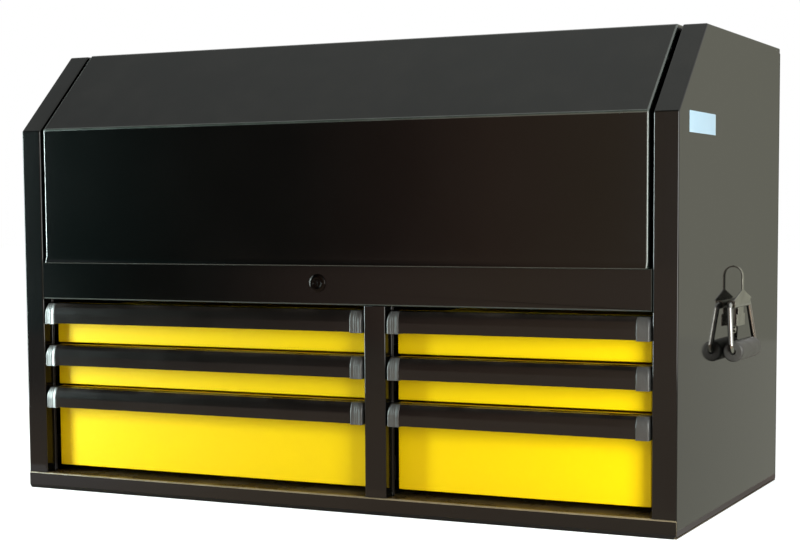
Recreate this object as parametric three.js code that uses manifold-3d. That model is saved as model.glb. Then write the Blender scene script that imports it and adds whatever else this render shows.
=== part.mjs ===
// A wide steel top chest: a lidded compartment over two columns of three drawers.
// Millimetres. X runs to the right, Y to the back and Z up.
// The origin lies on the ground, under the middle of the chest.
import * as THREE from 'three';
import { mergeVertices } from 'three/addons/utils/BufferGeometryUtils.js';
import Module from 'manifold-3d';

const wasm = await Module();
wasm.setup();

// Driving dimensions of the cabinet
const cabinetWidth = 1041;
const cabinetDepth = 534;
const cabinetHeight = 673;
const bendHeight = 551;
const slopeRun = 127;
const frontProud = 3;
const sheet = 1.5;
const seat = 0.3;
const overrun = 5;

// Folded edges of the cabinet
const flangeWidth = 34;
const returnDepth = 22.4;
const returnLip = 12;
const baseRailHeight = 25;
const baseCornerRadius = 4;
const lockRailBottom = 294.6;
const lockRailHeight = 54.9;
const postOffset = 84.4;
const postWidth = 33.4;
const postLip = 9;
const dividerStep = 4;

// Lid
const lidSideGap = 6.5;
const lidProud = 1.2;
const lidFlange = 20;
const lidLipHeight = 9;
const lidLipFlat = 2.5;
const lidHemDepth = 15;
const stiffenerSetback = 285;
const stiffenerWidth = 60;
const stiffenerDrop = 16;
const stiffenerFoot = 14;

// Piano hinge at the rear top edge
const knuckleRadius = 4;
const knuckleInset = 0.3;
const hingePinRadius = 1.6;
const hingeBoreRadius = 2.1;
const hingeLeaf = 1.2;
const leafLength = 30;
const leafClear = 0.6;
const hingeSegments = 9;
const hingeEndGap = 2;

// Gas struts, measured from the lid hinge
const strutFootBack = 37;
const strutFootDrop = 156;
const strutHeadForward = 177;
const strutHeadDrop = 33;
const strutInset = 21;
const strutEyeRadius = 8;
const strutEyeWidth = 8;
const strutStudRadius = 3.8;
const strutStudBase = 6;
const strutStudBaseGap = 0.5;
const strutStudClear = 0.5;
const strutTubeRadius = 9.5;
const strutRodRadius = 4;
const strutBoreClear = 0.6;
const strutTubeTopGap = 14;
const strutBoreFloor = 15;
const strutRodEndGap = 2;
const strutOpenGap = 1.5;
const strutTabWidth = 26;

// Drawers
const topClear = 7;
const bottomClear = 10;
const frontGap = 3.7;
const shallowHeight = 61;
const frontRecess = 25;
const frontSideGap = 7.5;
const drawerSheet = 1.2;
const frontReturn = 10;
const panFloorLift = 5;
const panTopDrop = 9;
const panRearClear = 12;
const slideSpace = 12.5;
const slideHeight = 35;
const slideSheet = 1.2;
const slideLift = 23.5;
const slideSetback = 12;
const slideRunning = 0.3;
const slideFootReach = 7;

// Drawer handle bars and their end caps
const barHeight = 30;
const barBulge = 5.5;
const barProud = 2.4;
const barWall = 2;
const barLegHeight = 14;
const barEndGap = 3;
const capLength = 18.4;
const capDrop = 1.5;
const capRim = 0.6;
const capRimWidth = 2.4;
const arcSteps = 10;

// Lock and catch
const lockOffset = -5;
const lockRise = 30.6;
const bezelRadius = 13;
const bezelProud = 2.4;
const barrelRadius = 9.5;
const barrelLength = 24;
const plugRadius = 6;
const plugClear = 0.4;
const plugProud = 0.4;
const keywayWidth = 1.4;
const keywayHeight = 7;
const keywayDepth = 6;
const camReach = 24;
const camHalfWidth = 6;
const camSheet = 2;
const catchGap = 1;
const catchBelow = 10;
const catchBar = 3;
const catchStripWidth = 5;
const catchArmStart = 7;
const catchNotchClear = 3;

// Side carrying handles
const handleRise = 292.5;
const handleCentre = 4;
const handleStandOff = 8.4;
const bracketSheet = 1.8;
const bracketHalfWidth = 50;
const bracketApexRise = 19.5;
const bracketApexHalf = 4;
const neckRadius = 14.3;
const neckTopRise = 53.5;
const neckWidth = 8;
const knuckleTubeRadius = 5.9;
const knuckleTubeHalf = 41.5;
const bailRadius = 3.7;
const bailClear = 0.4;
const bailTopHalf = 52;
const bailBottomHalf = 66;
const bailDrop = 64.5;
const bailLeanOut = 6.9;
const gripRadius = 14.5;
const gripHalfLength = 52;
const gripSlip = -5;
const gripTaperLength = 2;
const gripTaperDepth = 2;
const tongueStandOff = 9.7;
const tongueTopDrop = 4.4;
const tongueNeckHalf = 14;
const tongueWideDrop = 14.5;
const tongueHalfWidth = 22;
const tongueDrop = 42.5;
const tongueFoot = 11;
const tongueFootHalf = 10;
const tongueRivetRadius = 4;
const tongueRivetProud = 2;

// Facets
const roundSides = 24;
const smallSides = 16;

// Places worked out from the sizes above
const halfWidth = cabinetWidth / 2;
const overallDepth = cabinetDepth + frontProud;
const frontY = frontProud - overallDepth / 2;
const backY = overallDepth / 2;
const innerBackY = backY - sheet - seat;
const floorTop = sheet + seat;
const openEdge = halfWidth - flangeWidth;
const postLeft = postOffset - postWidth / 2;
const postRight = postOffset + postWidth / 2;
const returnEndY = frontY + returnDepth;
const lockRailTop = lockRailBottom + lockRailHeight;
const tillFloorZ = lockRailBottom + sheet + seat;
const lidBottom = lockRailTop + seat;
const lidHalf = openEdge - lidSideGap;
const lidTop = cabinetHeight + lidProud;
const hingeY = backY - knuckleInset - knuckleRadius;
const hingeZ = lidTop - knuckleInset - knuckleRadius;
const sheetFaceY = frontY + frontRecess;
const lockZ = lockRailBottom + lockRise;
const camY = frontY + sheet + barrelLength + seat;

// Colours and finishes
function finish(name, colour, roughness, metalness) {
  const material = new THREE.MeshStandardMaterial({ color: colour, roughness, metalness });
  material.name = name;
  return material;
}

const blackPaint = finish('black_paint', 0x1b1b1a, 0.18, 0.0);
const yellowPaint = finish('yellow_paint', 0xf2dc0c, 0.25, 0.0);
const blackBar = finish('black_bar', 0x1c1b1a, 0.35, 0.0);
const greyPlastic = finish('grey_plastic', 0x77776f, 0.45, 0.0);
const zincSteel = finish('zinc_steel', 0xb4b6b6, 0.4, 1.0);
const chromeSteel = finish('chrome_steel', 0xd8dada, 0.12, 1.0);
const darkGrip = finish('dark_grip', 0x55554f, 0.6, 0.0);
const strutBlack = finish('strut_black', 0x151515, 0.3, 0.4);

// Solids
function solidOf(geometry) {
  const bare = geometry.clone();
  bare.deleteAttribute('normal');
  bare.deleteAttribute('uv');
  const merged = mergeVertices(bare.index ? bare.toNonIndexed() : bare);
  return new wasm.Manifold(new wasm.Mesh({
    numProp: 3,
    vertProperties: new Float32Array(merged.attributes.position.array),
    triVerts: new Uint32Array(merged.index.array),
  }));
}

function geometryOf(solid) {
  const mesh = solid.getMesh();
  const geometry = new THREE.BufferGeometry();
  geometry.setAttribute('position', new THREE.BufferAttribute(mesh.vertProperties, 3));
  geometry.setIndex(new THREE.BufferAttribute(mesh.triVerts, 1));
  return geometry;
}

function block(xA, xB, yA, yB, zA, zB) {
  const size = [Math.abs(xB - xA), Math.abs(yB - yA), Math.abs(zB - zA)];
  const geometry = new THREE.BoxGeometry(...size);
  geometry.translate((xA + xB) / 2, (yA + yB) / 2, (zA + zB) / 2);
  return solidOf(geometry);
}

function extruded(points, depth, basis) {
  const shape = new THREE.Shape(points.map(([a, b]) => new THREE.Vector2(a, b)));
  const geometry = new THREE.ExtrudeGeometry(shape, { depth, bevelEnabled: false });
  geometry.applyMatrix4(basis);
  return solidOf(geometry);
}

// An outline in Y and Z, run along X
function alongX(points, xA, xB) {
  const basis = new THREE.Matrix4().set(
    0, 0, 1, Math.min(xA, xB),
    1, 0, 0, 0,
    0, 1, 0, 0,
    0, 0, 0, 1,
  );
  return extruded(points, Math.abs(xB - xA), basis);
}

// An outline in X and Z, run along Y
function alongY(points, yA, yB) {
  const basis = new THREE.Matrix4().set(
    1, 0, 0, 0,
    0, 0, -1, Math.max(yA, yB),
    0, 1, 0, 0,
    0, 0, 0, 1,
  );
  return extruded(points, Math.abs(yB - yA), basis);
}

function circle(radius, centre, sides) {
  const turns = Array.from({ length: sides }, (unused, i) => (2 * Math.PI * i) / sides);
  return turns.map((turn) => [
    centre[0] + radius * Math.cos(turn),
    centre[1] + radius * Math.sin(turn),
  ]);
}

function rodX(radius, y, z, xA, xB, sides) {
  return alongX(circle(radius, [y, z], sides), xA, xB);
}

function rodY(radius, x, z, yA, yB, sides) {
  return alongY(circle(radius, [x, z], sides), yA, yB);
}

// A round bar between two points
function rodBetween(radius, from, to, sides) {
  const start = new THREE.Vector3(...from);
  const end = new THREE.Vector3(...to);
  const length = start.distanceTo(end);
  const geometry = new THREE.CylinderGeometry(radius, radius, length, sides);
  const up = new THREE.Vector3(0, 1, 0);
  const aim = new THREE.Quaternion().setFromUnitVectors(up, end.clone().sub(start).normalize());
  geometry.applyQuaternion(aim);
  const middle = start.add(end).multiplyScalar(0.5);
  geometry.translate(middle.x, middle.y, middle.z);
  return solidOf(geometry);
}

// A convex outline drawn in, one distance for each edge
function insetOutline(points, distances) {
  const lines = points.map(([y, z], i) => {
    const [nextY, nextZ] = points[(i + 1) % points.length];
    const length = Math.hypot(nextY - y, nextZ - z);
    const normal = [-(nextZ - z) / length, (nextY - y) / length];
    const offset = normal[0] * y + normal[1] * z + distances[i];
    return { normal, offset };
  });
  return lines.map((line, i) => {
    const before = lines[(i + lines.length - 1) % lines.length];
    const [a, b] = before.normal;
    const [c, d] = line.normal;
    const cross = a * d - b * c;
    const y = (before.offset * d - b * line.offset) / cross;
    const z = (a * line.offset - before.offset * c) / cross;
    return [y, z];
  });
}

// Points on the front curve of a handle bar, from one height to another
function barArc(radius, centreY, centreZ, zFrom, zTo) {
  const from = Math.asin((zFrom - centreZ) / radius);
  const to = Math.asin((zTo - centreZ) / radius);
  return Array.from({ length: arcSteps + 1 }, (unused, i) => {
    const turn = from + ((to - from) * i) / arcSteps;
    return [centreY - radius * Math.cos(turn), centreZ + radius * Math.sin(turn)];
  });
}

const chest = new THREE.Group();

function addPiece(name, solid, material) {
  const piece = new THREE.Mesh(geometryOf(solid), material);
  piece.name = name;
  chest.add(piece);
}

// The side of the cabinet seen from its end: bottom, back, top, slope and front edges
const cheekOutline = [
  [frontY, floorTop],
  [innerBackY, floorTop],
  [innerBackY, cabinetHeight],
  [frontY + slopeRun, cabinetHeight],
  [frontY, bendHeight],
];

// How far the narrow bead at the end of each folded edge stands into a drawer opening
const beadReach = barEndGap - seat;

function sidePanel(side) {
  const outer = side * halfWidth;
  const inner = side * openEdge;
  const wallInner = side * (halfWidth - sheet);
  const lipOuter = side * (openEdge + returnLip);
  const pastInner = side * (openEdge - overrun);
  const hollow = insetOutline(cheekOutline, [sheet, sheet, sheet, sheet, sheet]);
  const returnEnd = insetOutline(cheekOutline, [-overrun, -overrun, returnDepth, returnDepth, returnDepth]);
  const lipDepth = returnDepth - sheet;
  const lipFront = insetOutline(cheekOutline, [0, sheet, lipDepth, lipDepth, lipDepth]);
  const pan = alongX(cheekOutline, outer, inner).subtract(alongX(hollow, wallInner, pastInner));
  const returnWall = alongX(insetOutline(cheekOutline, [0, sheet, 0, 0, 0]), inner, inner + side * sheet);
  const lip = alongX(lipFront, inner, lipOuter);
  const folds = returnWall.add(lip).subtract(alongX(returnEnd, side * (openEdge - overrun), outer));
  const bead = block(inner, inner - side * beadReach, returnEndY - sheet, returnEndY,
    baseRailHeight + seat, lockRailBottom - seat);
  const railCut = block(side * (halfWidth + overrun), pastInner,
    frontY - overrun, frontY + sheet + seat, 0, baseRailHeight + seat);
  const cornerCut = block(side * (halfWidth - sheet - seat), pastInner,
    frontY - overrun, returnEndY + seat, 0, baseRailHeight + seat);
  const foot = strutFoot();
  const eyeMiddle = openEdge - strutInset;
  const studRoot = wallInner + side * sheet / 2;
  const stud = rodX(strutStudRadius, foot.y, foot.z, studRoot, side * (eyeMiddle - strutEyeWidth / 2), smallSides)
    .add(rodX(strutStudBase, foot.y, foot.z, studRoot,
      side * (eyeMiddle + strutEyeWidth / 2 + strutStudBaseGap), smallSides));
  const slot = neckSlot(side);
  const rivetHole = tongueHole(side);
  return pan.add(folds).subtract(railCut).subtract(cornerCut).add(bead).add(stud)
    .subtract(slot).subtract(rivetHole);
}

function backPanel() {
  const top = hingeZ - knuckleRadius - leafClear;
  return block(-halfWidth, halfWidth, backY - sheet, backY, floorTop, top);
}

// The floor of the cabinet, folded up into the rail across the foot of the front
function bottomPan() {
  const half = halfWidth - sheet - seat;
  const floor = block(-halfWidth, halfWidth, frontY, backY, 0, sheet);
  const corner = baseCornerRadius;
  const faceOutline = [
    [-halfWidth + corner, 0],
    [halfWidth - corner, 0],
    [halfWidth, corner],
    [halfWidth, baseRailHeight],
    [-halfWidth, baseRailHeight],
    [-halfWidth, corner],
  ];
  const face = alongY(faceOutline, frontY, frontY + sheet);
  const cornerTrim = block(-halfWidth - overrun, -halfWidth + corner, frontY - overrun, frontY + sheet, -overrun, sheet)
    .add(block(halfWidth - corner, halfWidth + overrun, frontY - overrun, frontY + sheet, -overrun, sheet));
  const shelf = block(-half, half, frontY, returnEndY, baseRailHeight - sheet, baseRailHeight);
  const lip = block(-half, half, returnEndY - sheet, returnEndY, baseRailHeight - returnLip, baseRailHeight);
  return floor.subtract(cornerTrim).add(face).add(shelf).add(lip);
}

// The floor of the lidded compartment, notched round the folded edges of the side panels
function tillFloor() {
  const half = halfWidth - sheet - seat;
  const yFrom = frontY + sheet + seat;
  const yTo = innerBackY;
  const wallHeight = flangeWidth;
  const plate = block(-half, half, yFrom, yTo, tillFloorZ, tillFloorZ + sheet);
  const leftWall = block(-half, -half + sheet, yFrom, yTo, tillFloorZ, tillFloorZ + wallHeight);
  const rightWall = block(half - sheet, half, yFrom, yTo, tillFloorZ, tillFloorZ + wallHeight);
  const rearWall = block(-half, half, yTo - sheet, yTo, tillFloorZ, tillFloorZ + wallHeight);
  let tray = plate.add(leftWall).add(rightWall).add(rearWall);
  for (const side of [-1, 1]) {
    const inner = side * (openEdge - seat);
    const past = side * (halfWidth + overrun);
    const low = tillFloorZ - overrun;
    const high = tillFloorZ + wallHeight + overrun;
    const frontNotch = block(inner, past, frontY - overrun, returnEndY + seat, low, high);
    const rearNotch = block(inner, past, yTo - sheet - seat, yTo + overrun, low, high);
    tray = tray.subtract(frontNotch).subtract(rearNotch);
  }
  return tray;
}

// The fixed rail between the drawers and the lid, which holds the lock
function lockRail() {
  const half = openEdge - seat;
  const face = block(-half, half, frontY, frontY + sheet, lockRailBottom, lockRailTop);
  const bottomFold = block(-half, half, frontY, returnEndY, lockRailBottom, lockRailBottom + sheet);
  const topFold = block(-half, half, frontY, returnEndY, lockRailTop - sheet, lockRailTop);
  const topLip = block(-half, half, returnEndY - sheet, returnEndY, lockRailTop - returnLip, lockRailTop);
  const hole = rodY(barrelRadius + plugClear, lockOffset, lockZ,
    frontY - overrun, frontY + sheet + overrun, roundSides);
  const notch = block(lockOffset + catchArmStart - catchNotchClear, catchStripEnd() + catchNotchClear,
    frontY + sheet, returnEndY + overrun, lockRailTop - returnLip - overrun, lockRailTop + overrun);
  return face.add(bottomFold).add(topFold).add(topLip).subtract(hole).subtract(notch);
}

// The post between the drawer columns, with the divider box behind it
function centrePartition() {
  const postBottom = baseRailHeight + seat;
  const postTop = lockRailBottom - seat;
  const face = block(postLeft, postRight, frontY, frontY + sheet, postBottom, postTop);
  const leftFold = block(postLeft, postLeft + sheet, frontY, returnEndY, postBottom, postTop);
  const rightFold = block(postRight - sheet, postRight, frontY, returnEndY, postBottom, postTop);
  const leftLip = block(postLeft, postLeft + postLip, returnEndY - sheet, returnEndY, postBottom, postTop);
  const rightLip = block(postRight - postLip, postRight, returnEndY - sheet, returnEndY, postBottom, postTop);
  const beads = block(postLeft - beadReach, postLeft + sheet, returnEndY - sheet, returnEndY, postBottom, postTop)
    .add(block(postRight - sheet, postRight + beadReach, returnEndY - sheet, returnEndY, postBottom, postTop));
  const wallLeft = postLeft + dividerStep;
  const wallRight = postRight - dividerStep;
  const box = block(wallLeft, wallRight, returnEndY + seat, innerBackY, floorTop, lockRailBottom + sheet)
    .subtract(block(wallLeft + sheet, wallRight - sheet, frontY, innerBackY - sheet, 0, lockRailTop));
  const tongueLeft = block(wallLeft, wallLeft + sheet, returnEndY - sheet, returnEndY + sheet, postBottom, postTop);
  const tongueRight = block(wallRight - sheet, wallRight, returnEndY - sheet, returnEndY + sheet, postBottom, postTop);
  return face.add(leftFold).add(rightFold).add(leftLip).add(rightLip).add(beads)
    .add(box).add(tongueLeft).add(tongueRight);
}

// Drawer columns: the two side edges of each opening, and which edge is a side panel
const columns = [
  { name: 'left', left: -openEdge, right: postLeft, cheekSide: -1 },
  { name: 'right', left: postRight, right: openEdge, cheekSide: 1 },
];

// Drawer rows from the top down: the highest and lowest point of each front
const firstTop = lockRailBottom - topClear;
const secondTop = firstTop - shallowHeight - frontGap;
const thirdTop = secondTop - shallowHeight - frontGap;
const rows = [
  { name: 'top', high: firstTop, low: firstTop - shallowHeight },
  { name: 'middle', high: secondTop, low: secondTop - shallowHeight },
  { name: 'bottom', high: thirdTop, low: baseRailHeight + bottomClear },
];

// An outer slide member: a channel open towards the drawer, with feet on the cabinet's folds
function slideRail(edge, outward, row, onCheek) {
  const back = edge + outward * (dividerStep - seat);
  const web = back - outward * slideSheet;
  const mouth = edge + outward * (dividerStep - slideSpace + slideRunning);
  const middle = row.low + slideLift + panFloorLift;
  const high = middle + slideHeight / 2;
  const low = middle - slideHeight / 2;
  const start = sheetFaceY + slideSetback;
  const end = innerBackY - sheet - seat;
  const channel = block(back, mouth, start, end, low, high)
    .subtract(block(web, mouth - outward * overrun, start - overrun, end + overrun, low + slideSheet, high - slideSheet));
  if (!onCheek) return channel;
  const footEnd = back + outward * slideFootReach;
  const frontFoot = block(web, footEnd, returnEndY + seat, returnEndY + seat + slideSheet, low, high);
  const frontArm = block(web, back, returnEndY + seat, start + overrun, low, high);
  const rearFoot = block(web, footEnd, end - slideSheet, end, low, high);
  return channel.add(frontFoot).add(frontArm).add(rearFoot);
}

// A drawer with its front and the inner slide members riveted to its sides
function drawer(column, row) {
  const frontLeft = column.left + frontSideGap;
  const frontRight = column.right - frontSideGap;
  const panLeft = column.left + slideSpace - dividerStep;
  const panRight = column.right - slideSpace + dividerStep;
  const panBack = innerBackY - sheet - panRearClear;
  const panLow = row.low + panFloorLift;
  const panHigh = panLow + (row.high - row.low) - panFloorLift - panTopDrop;
  const frontBack = sheetFaceY + frontReturn;
  const front = block(frontLeft, frontRight, sheetFaceY, frontBack, row.low, row.high)
    .subtract(block(frontLeft + drawerSheet, frontRight - drawerSheet,
      sheetFaceY + drawerSheet, frontBack + overrun, row.low + drawerSheet, row.high - drawerSheet));
  const pan = block(panLeft, panRight, sheetFaceY, panBack, panLow, panHigh);
  const hollow = block(panLeft + drawerSheet, panRight - drawerSheet,
    sheetFaceY + drawerSheet, panBack - drawerSheet, panLow + drawerSheet, row.high - drawerSheet);
  let body = pan.add(front).subtract(hollow);
  for (const [edge, outward] of [[column.left, -1], [column.right, 1]]) {
    body = body.add(innerSlide(edge, outward, row, panBack));
  }
  return body;
}

function innerSlide(edge, outward, row, panBack) {
  const webOuter = edge + outward * (dividerStep - slideSpace + slideSheet);
  const webInner = webOuter - outward * slideSheet;
  const reach = edge - outward * (beadReach + seat);
  const middle = row.low + slideLift + panFloorLift;
  const half = slideHeight / 2 - slideSheet - slideRunning;
  const start = sheetFaceY + slideSetback + frontReturn;
  const member = block(webInner - outward * drawerSheet / 2, reach, start, panBack, middle - half, middle + half);
  const hollow = block(webOuter, reach + outward * overrun, start - overrun, panBack + overrun,
    middle - half + slideSheet, middle + half - slideSheet);
  return member.subtract(hollow);
}

// The handle bar's section: a leg against the drawer front, a top web and a bulging front
function barCurve(top) {
  const apexY = frontY - barProud;
  const halfHeight = barHeight / 2;
  const radius = (halfHeight * halfHeight + barBulge * barBulge) / (2 * barBulge);
  return { radius, centreY: apexY + radius, centreZ: top - halfHeight };
}

function handleBar(column, row) {
  const top = row.high;
  const low = top - barHeight;
  const curve = barCurve(top);
  const legBack = sheetFaceY - seat;
  const legFront = legBack - barWall;
  const outer = barArc(curve.radius, curve.centreY, curve.centreZ, top, low);
  const inner = barArc(curve.radius - barWall, curve.centreY, curve.centreZ, low, top - barWall);
  const outline = [
    ...outer,
    ...inner,
    [legFront, top - barWall],
    [legFront, top - barLegHeight],
    [legBack, top - barLegHeight],
    [legBack, top],
  ];
  const xFrom = column.left + barEndGap + capLength + seat;
  const xTo = column.right - barEndGap - capLength - seat;
  return alongX(outline, xFrom, xTo);
}

function endCap(column, row, end) {
  const top = row.high;
  const low = top - barHeight;
  const curve = barCurve(top);
  const back = sheetFaceY - seat;
  const section = (proud) => [
    ...barArc(curve.radius + proud, curve.centreY, curve.centreZ, top, low - capDrop),
    [back, low - capDrop],
    [back, top],
  ];
  const outerX = end < 0 ? column.left + barEndGap : column.right - barEndGap;
  const innerX = outerX - end * capLength;
  const core = alongX(section(0), outerX, innerX);
  const outerRim = alongX(section(capRim), outerX, outerX - end * capRimWidth);
  const innerRim = alongX(section(capRim), innerX, innerX + end * capRimWidth);
  return core.add(outerRim).add(innerRim);
}

// The outline of the lid, drawn from the cabinet's own side so that the two stay parallel
function lidOutline() {
  const rear = hingeY - knuckleRadius - leafClear;
  const distances = [lidBottom - floorTop, innerBackY - rear, -lidProud, -lidProud, 0];
  return insetOutline(cheekOutline, distances);
}

function lidShell() {
  const outline = lidOutline();
  const hollow = insetOutline(outline, [-overrun, -overrun, sheet, sheet, sheet]);
  const flangeEnd = insetOutline(outline, [-overrun, -overrun, lidFlange, lidFlange, lidFlange]);
  let lid = alongX(outline, -lidHalf, lidHalf)
    .subtract(alongX(hollow, -lidHalf - overrun, lidHalf + overrun));
  const head = strutHead();
  for (const side of [-1, 1]) {
    const outer = side * lidHalf;
    const inner = side * (lidHalf - sheet);
    const flange = alongX(outline, outer, inner).subtract(alongX(flangeEnd, outer + side * overrun, inner - side * overrun));
    const tab = block(outer, inner, head.y - strutTabWidth / 2, head.y + strutTabWidth / 2,
      head.z - strutEyeRadius, lidTop - lidFlange);
    const studEnd = side * (openEdge - strutInset + strutEyeWidth / 2 + strutOpenGap);
    const stud = rodX(strutStudRadius, head.y, head.z, inner, studEnd, smallSides);
    lid = lid.add(flange).add(tab).add(stud);
  }
  const lipOutline = [
    [frontY, lidBottom + lidLipHeight],
    [frontY - frontProud, lidBottom + lidLipFlat],
    [frontY - frontProud, lidBottom],
    [frontY + sheet, lidBottom],
    [frontY + sheet, lidBottom + lidLipHeight],
  ];
  const hem = block(-lidHalf, lidHalf, frontY, frontY + lidHemDepth, lidBottom, lidBottom + sheet);
  return lid.add(alongX(lipOutline, -lidHalf, lidHalf)).add(hem);
}

// A hat channel across the underside of the lid
function lidStiffener() {
  const top = lidTop - sheet - seat;
  const yMiddle = hingeY - stiffenerSetback;
  const half = stiffenerWidth / 2;
  const footEnd = half + stiffenerFoot;
  const outline = [
    [yMiddle - footEnd, top - sheet],
    [yMiddle - half, top - sheet],
    [yMiddle - half, top - stiffenerDrop],
    [yMiddle + half, top - stiffenerDrop],
    [yMiddle + half, top - sheet],
    [yMiddle + footEnd, top - sheet],
    [yMiddle + footEnd, top],
    [yMiddle + half - sheet, top],
    [yMiddle + half - sheet, top - stiffenerDrop + sheet],
    [yMiddle - half + sheet, top - stiffenerDrop + sheet],
    [yMiddle - half + sheet, top],
    [yMiddle - footEnd, top],
  ];
  const reach = lidHalf - sheet - seat;
  return alongX(outline, -reach, reach);
}

// The two leaves share one row of knuckles: even ones are fixed, odd ones lift with the lid
function hingeLength() {
  return 2 * (lidHalf - hingeEndGap);
}

function knuckleSpan(index) {
  const step = hingeLength() / hingeSegments;
  const start = -hingeLength() / 2 + index * step;
  return [start + leafClear / 2, start + step - leafClear / 2];
}

function fixedLeaf() {
  const plateBack = backY - sheet - seat;
  const plateFront = plateBack - hingeLeaf;
  const low = hingeZ - leafLength;
  const half = hingeLength() / 2;
  let leaf = block(-half, half, plateFront, plateBack, low, hingeZ - knuckleRadius - leafClear);
  for (let index = 0; index < hingeSegments; index += 2) {
    const [xFrom, xTo] = knuckleSpan(index);
    leaf = leaf.add(block(xFrom, xTo, plateFront, plateBack, low, hingeZ));
    leaf = leaf.add(rodX(knuckleRadius, hingeY, hingeZ, xFrom, xTo, smallSides));
  }
  return leaf.add(rodX(hingePinRadius, hingeY, hingeZ, -half + leafClear, half - leafClear, smallSides));
}

function movingLeaf() {
  const plateTop = lidTop - sheet - seat;
  const plateLow = plateTop - hingeLeaf;
  const front = hingeY - leafLength;
  const half = hingeLength() / 2;
  let leaf = block(-half, half, front, hingeY - knuckleRadius - leafClear, plateLow, plateTop);
  for (let index = 1; index < hingeSegments; index += 2) {
    const [xFrom, xTo] = knuckleSpan(index);
    leaf = leaf.add(block(xFrom, xTo, front, hingeY, plateLow, plateTop));
    leaf = leaf.add(rodX(knuckleRadius, hingeY, hingeZ, xFrom, xTo, smallSides));
  }
  return leaf.subtract(rodX(hingeBoreRadius, hingeY, hingeZ, -halfWidth, halfWidth, smallSides));
}

// Gas strut pivots in the side view
function strutFoot() {
  return { y: hingeY - strutFootBack, z: hingeZ - strutFootDrop };
}

function strutHead() {
  return { y: hingeY - strutHeadForward, z: hingeZ - strutHeadDrop };
}

function strutPoint(side, distance) {
  const foot = strutFoot();
  const head = strutHead();
  const share = distance / Math.hypot(head.y - foot.y, head.z - foot.z);
  const x = side * (openEdge - strutInset);
  return [x, foot.y + (head.y - foot.y) * share, foot.z + (head.z - foot.z) * share];
}

function strutLength() {
  const foot = strutFoot();
  const head = strutHead();
  return Math.hypot(head.y - foot.y, head.z - foot.z);
}

function strutTube(side) {
  const middle = side * (openEdge - strutInset);
  const foot = strutFoot();
  const eye = rodX(strutEyeRadius, foot.y, foot.z,
    middle - strutEyeWidth / 2, middle + strutEyeWidth / 2, roundSides);
  const top = strutLength() - strutTubeTopGap;
  const tube = rodBetween(strutTubeRadius, strutPoint(side, strutEyeRadius), strutPoint(side, top), roundSides);
  const neck = rodBetween(strutRodRadius, strutPoint(side, 0), strutPoint(side, strutBoreFloor), smallSides);
  const bore = rodBetween(strutRodRadius + strutBoreClear,
    strutPoint(side, strutBoreFloor), strutPoint(side, top + overrun), smallSides);
  const pinHole = rodX(strutStudRadius + strutStudClear, foot.y, foot.z,
    middle - strutEyeWidth, middle + strutEyeWidth, smallSides);
  return eye.add(tube).add(neck).subtract(bore).subtract(pinHole);
}

function strutRod(side) {
  const middle = side * (openEdge - strutInset);
  const head = strutHead();
  const eye = rodX(strutEyeRadius, head.y, head.z,
    middle - strutEyeWidth / 2, middle + strutEyeWidth / 2, roundSides);
  const rod = rodBetween(strutRodRadius, strutPoint(side, strutBoreFloor + strutRodEndGap),
    strutPoint(side, strutLength()), smallSides);
  const pinHole = rodX(strutStudRadius + strutStudClear, head.y, head.z,
    middle - strutEyeWidth, middle + strutEyeWidth, smallSides);
  return eye.add(rod).subtract(pinHole);
}

// Lock: a fixed housing, and a plug that turns the cam over the lid's catch
function lockHousing() {
  const bezel = rodY(bezelRadius, lockOffset, lockZ, frontY - seat - bezelProud, frontY - seat, roundSides);
  const barrel = rodY(barrelRadius, lockOffset, lockZ, frontY - seat - bezelProud, frontY + sheet + barrelLength, roundSides);
  const bore = rodY(plugRadius + plugClear, lockOffset, lockZ, frontY - overrun, camY + overrun, roundSides);
  return bezel.add(barrel).subtract(bore);
}

function lockPlug() {
  const face = frontY - seat - bezelProud + plugProud;
  const plug = rodY(plugRadius, lockOffset, lockZ, face, camY + camSheet, roundSides);
  const keyway = block(lockOffset - keywayWidth / 2, lockOffset + keywayWidth / 2,
    face - overrun, face + keywayDepth, lockZ - keywayHeight / 2, lockZ + keywayHeight / 2);
  const cam = block(lockOffset - camHalfWidth, lockOffset + camHalfWidth,
    camY, camY + camSheet, lockZ, lockZ + camReach - camHalfWidth);
  const tip = rodY(camHalfWidth, lockOffset, lockZ + camReach - camHalfWidth, camY, camY + camSheet, smallSides);
  return plug.subtract(keyway).add(cam).add(tip);
}

function catchStripEnd() {
  return lockOffset + camReach + catchGap + catchStripWidth;
}

// The catch hangs from the lid's hem, and its bar lies under the cam once the lock is turned
function lidCatch() {
  const stripFrom = catchStripEnd() - catchStripWidth;
  const barTop = lockZ - camHalfWidth - catchGap;
  const barLow = barTop - catchBar;
  const shelfLow = lidBottom + sheet + seat;
  const shelf = block(lockOffset + catchArmStart, catchStripEnd(),
    frontY + sheet + seat, camY + camSheet, shelfLow, shelfLow + camSheet);
  const strip = block(stripFrom, catchStripEnd(), camY, camY + camSheet, barLow, shelfLow + camSheet);
  const bar = block(lockOffset + catchArmStart, catchStripEnd(), camY, camY + camSheet, barLow, barTop);
  return shelf.add(strip).add(bar);
}

// Side handle: X distances are measured out from the side panel
function outward(side, distance) {
  return side * (halfWidth + distance);
}

// The neck's tab passes through the panel here
function neckSlot(side) {
  const half = neckWidth / 2 + seat;
  const top = handleRise + neckTopRise;
  return block(outward(side, overrun), outward(side, -sheet - overrun), handleCentre - half, handleCentre + half,
    top - bracketSheet - seat, top + seat);
}

function tongueHole(side) {
  return rodX(tongueRivetRadius / 2 + seat, handleCentre, tongueRivetZ(),
    outward(side, overrun), outward(side, -sheet - overrun), smallSides);
}

function tongueRivetZ() {
  return handleRise - tongueDrop + tongueFoot / 2;
}

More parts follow.
